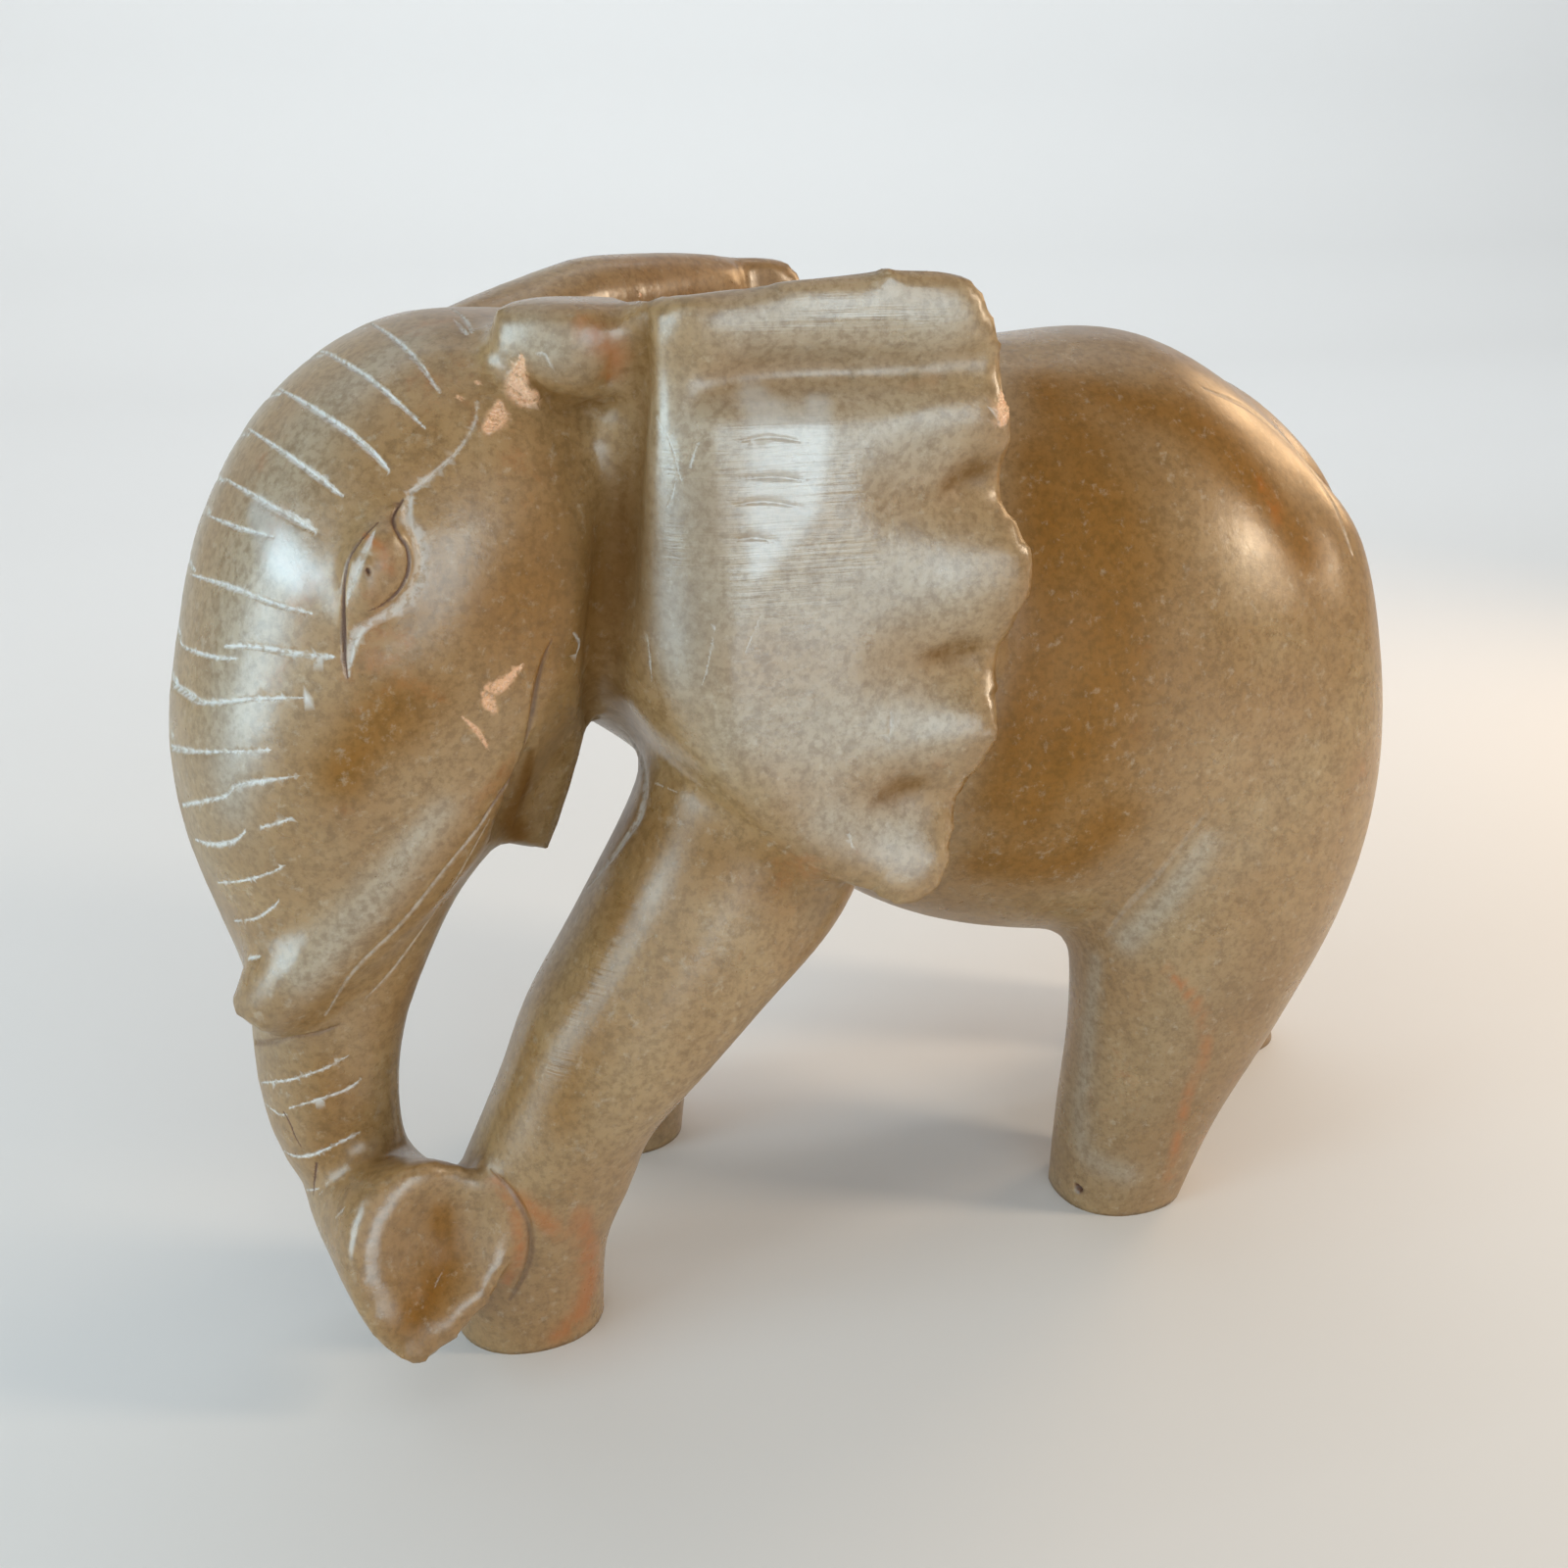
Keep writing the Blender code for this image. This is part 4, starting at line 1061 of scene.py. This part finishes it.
def soapstone():
    material = bpy.data.materials.new("polishedSoapstone")
    material.use_nodes = True
    nodes, links = material.node_tree.nodes, material.node_tree.links
    shader = nodes["Principled BSDF"]
    place = nodes.new("ShaderNodeTexCoord").outputs["Object"]

    def wire(value, socket):
        # a colour or a number is set on the socket, anything else is linked to it
        if isinstance(value, tuple):
            socket.default_value = (*value, 1)
        elif isinstance(value, (int, float)):
            socket.default_value = value
        else:
            links.new(value, socket)

    def noise(scale, detail, roughness=0.6, vector=place):
        node = nodes.new("ShaderNodeTexNoise")
        for name, value in (("Scale", scale), ("Detail", detail), ("Roughness", roughness)):
            node.inputs[name].default_value = value
        links.new(vector, node.inputs["Vector"])
        return node.outputs["Fac"]

    def streaks(along, across):
        # noise drawn out sideways, so that it runs in level lines
        mapping = nodes.new("ShaderNodeMapping")
        mapping.inputs["Scale"].default_value = (along, along, across)
        links.new(place, mapping.inputs["Vector"])
        return noise(1.0, 3, vector=mapping.outputs["Vector"])

    def stretched(value, low, high, start=0.0, end=1.0):
        node = nodes.new("ShaderNodeMapRange")
        node.interpolation_type = "SMOOTHSTEP"
        for name, number in (("From Min", low), ("From Max", high), ("To Min", start), ("To Max", end)):
            node.inputs[name].default_value = number
        links.new(value, node.inputs["Value"])
        return node.outputs["Result"]

    def mixed(factor, under, over):
        node = nodes.new("ShaderNodeMix")
        node.data_type = "RGBA"
        wire(factor, node.inputs["Factor"])
        wire(under, node.inputs[6])
        wire(over, node.inputs[7])
        return node.outputs[2]

    def mark(name):
        node = nodes.new("ShaderNodeAttribute")
        node.attribute_name = name
        return node.outputs["Fac"]

    def worked(operation, a, b):
        node = nodes.new("ShaderNodeMath")
        node.operation = operation
        wire(a, node.inputs[0])
        wire(b, node.inputs[1])
        return node.outputs[0]

    def plus(a, b):
        return worked("ADD", a, b)

    def times(a, b):
        return worked("MULTIPLY", a, b)

    colour = finish["base"]
    for layer in layers:
        shares = []
        if "mark" in layer:
            painted = mark(layer["mark"])
            shares.append(stretched(painted, *layer["fade"]) if "fade" in layer else painted)
        if "noise" in layer:
            shares.append(stretched(noise(*layer["noise"]), *layer["stretch"]))
        if "share" in layer:
            shares.append(layer["share"])
        factor = times(*shares) if len(shares) > 1 else shares[0]
        colour = mixed(factor, colour, finish[layer["colour"]])
    links.new(colour, shader.inputs["Base Color"])

    rough = stretched(noise(*polish["noise"]), *polish["roughness"])
    for name, more in polish["rougher"].items():
        rough = plus(rough, times(mark(name), more))
    links.new(rough, shader.inputs["Roughness"])
    # a clear coat over the painted reflection
    links.new(stretched(mark("paintedReflection"), *polish["paintedReflection"]), shader.inputs["Coat Weight"])
    shader.inputs["Coat Roughness"].default_value = polish["reflectionCoatRoughness"]
    shader.inputs["Subsurface Weight"].default_value = polish["depth"]
    shader.inputs["Subsurface Radius"].default_value = polish["depthColour"]
    shader.inputs["Subsurface Scale"].default_value = polish["depthReach"]
    # less of the polish's shine where shade is painted and more where sheen is painted
    bright = plus(polish["shine"], times(mark("paintedSheen"), polish["paintedSheenShine"]))
    dull = plus(times(mark("paintedShade"), polish["paintedShadeDull"]), times(mark("paintedDeepShade"), polish["paintedDeepShadeDull"]))
    sheen = stretched(worked("SUBTRACT", bright, dull), 0.0, 1.0, polish["leastShine"], 1.0)
    links.new(sheen, shader.inputs["Specular IOR Level"])
    shader.inputs["IOR"].default_value = polish["refraction"]

    fine = nodes.new("ShaderNodeBump")
    fine.inputs["Strength"].default_value = polish["bump"]
    fine.inputs["Distance"].default_value = polish["bumpHeight"]
    chipped = times(mark("chipAndGlint"), times(noise(*polish["grit"]), polish["gritHeight"]))
    filed = times(mark("filed"), times(streaks(*polish["fileMarks"]), polish["fileHeight"]))
    links.new(plus(plus(noise(*polish["pores"]), chipped), filed), fine.inputs["Height"])
    links.new(fine.outputs["Normal"], shader.inputs["Normal"])
    return material


stoneMesh.materials.clear()
stoneMesh.materials.append(soapstone())
print("finish laid on")


# pale floor and soft light: spots, aims and sizes in mm
room = {
    "floor": (0.82, 0.82, 0.82),
    "floorRoughness": 0.9,
    "floorAcross": (-2500, 0, 2500),
    "floorRun": (-2500, 0, 700, 1000, 1150, 1230, 1260),
    "floorRise": (0, 0, 0, 30, 110, 260, 2600),
    "sky": (1.0, 0.91, 0.79),
    "skyStrength": 0.27,
    "lights": {
        "window": {"spot": (-740, -150, 230), "aim": (-70, -20, 100), "size": (400, 460),
                   "watts": 3.1, "colour": (0.62, 0.86, 1.0)},
        "pane": {"spot": (-520, -760, 380), "aim": (-40, -40, 90), "size": (1000, 700),
                 "watts": 1.6, "colour": (0.84, 0.93, 1.0)},
        "veil": {"spot": (70, -800, 166), "aim": (70, 0, 166), "size": (440, 330),
                 "watts": 1.9, "colour": (0.70, 0.89, 1.0)},
        "lamp": {"spot": (460, 160, 300), "aim": (80, 0, 90), "size": (160, 200),
                 "watts": 0.55, "colour": (1.0, 0.66, 0.36)},
        "bulb": {"spot": (467, -274, 297), "aim": (70, -35, 110), "size": (90, 140),
                 "watts": 1.1, "colour": (1.0, 0.80, 0.58)},
        "wash": {"spot": (600, 350, 900), "aim": (600, 1300, 350), "size": (2600, 300),
                 "watts": 10.5, "colour": (0.86, 0.93, 0.98)},
        "ceiling": {"spot": (0, 200, 1500), "aim": (0, 0, 0), "size": (1800, 1800),
                    "watts": 3.4, "colour": (0.94, 0.97, 1.0)},
    },
}


def addFloor():
    # a flat sheet that curves up into the backdrop behind
    x, y = np.meshgrid(np.array(room["floorAcross"], float), np.array(room["floorRun"], float), indexing="ij")
    z = np.broadcast_to(np.array(room["floorRise"], float), x.shape)
    grid = np.stack([x, y, z], axis=-1).reshape(-1, 3) * mm
    across, along = x.shape
    row, column = np.meshgrid(np.arange(across - 1), np.arange(along - 1), indexing="ij")
    corner = row * along + column
    quads = np.stack([corner, corner + along, corner + along + 1, corner + 1], axis=-1).reshape(-1, 4)
    data = bpy.data.meshes.new("floor")
    data.from_pydata(grid.tolist(), [], quads.tolist())
    data.shade_smooth()
    paper = bpy.data.materials.new("paper")
    paper.use_nodes = True
    shader = paper.node_tree.nodes["Principled BSDF"]
    shader.inputs["Base Color"].default_value = (*room["floor"], 1)
    shader.inputs["Roughness"].default_value = room["floorRoughness"]
    data.materials.append(paper)
    floor = placed("floor", data)


def addLight(name, plan):
    data = bpy.data.lights.new(name, "AREA")
    data.shape = "RECTANGLE"
    data.size, data.size_y = plan["size"][0] * mm, plan["size"][1] * mm
    data.energy = plan["watts"]
    data.color = plan["colour"]
    light = placed(name, data)
    light.location = Vector(plan["spot"]) * mm
    light.rotation_euler = (Vector(plan["aim"]) - Vector(plan["spot"])).to_track_quat("-Z", "Y").to_euler()


addFloor()
for name, plan in room["lights"].items():
    addLight(name, plan)
world = bpy.data.worlds.new("room")
world.use_nodes = True
sky = world.node_tree.nodes["Background"]
sky.inputs["Color"].default_value = (*room["sky"], 1)
sky.inputs["Strength"].default_value = room["skyStrength"]
bpy.context.scene.world = world
bpy.context.scene.view_settings.view_transform = "Standard"
print("floor and lights placed")
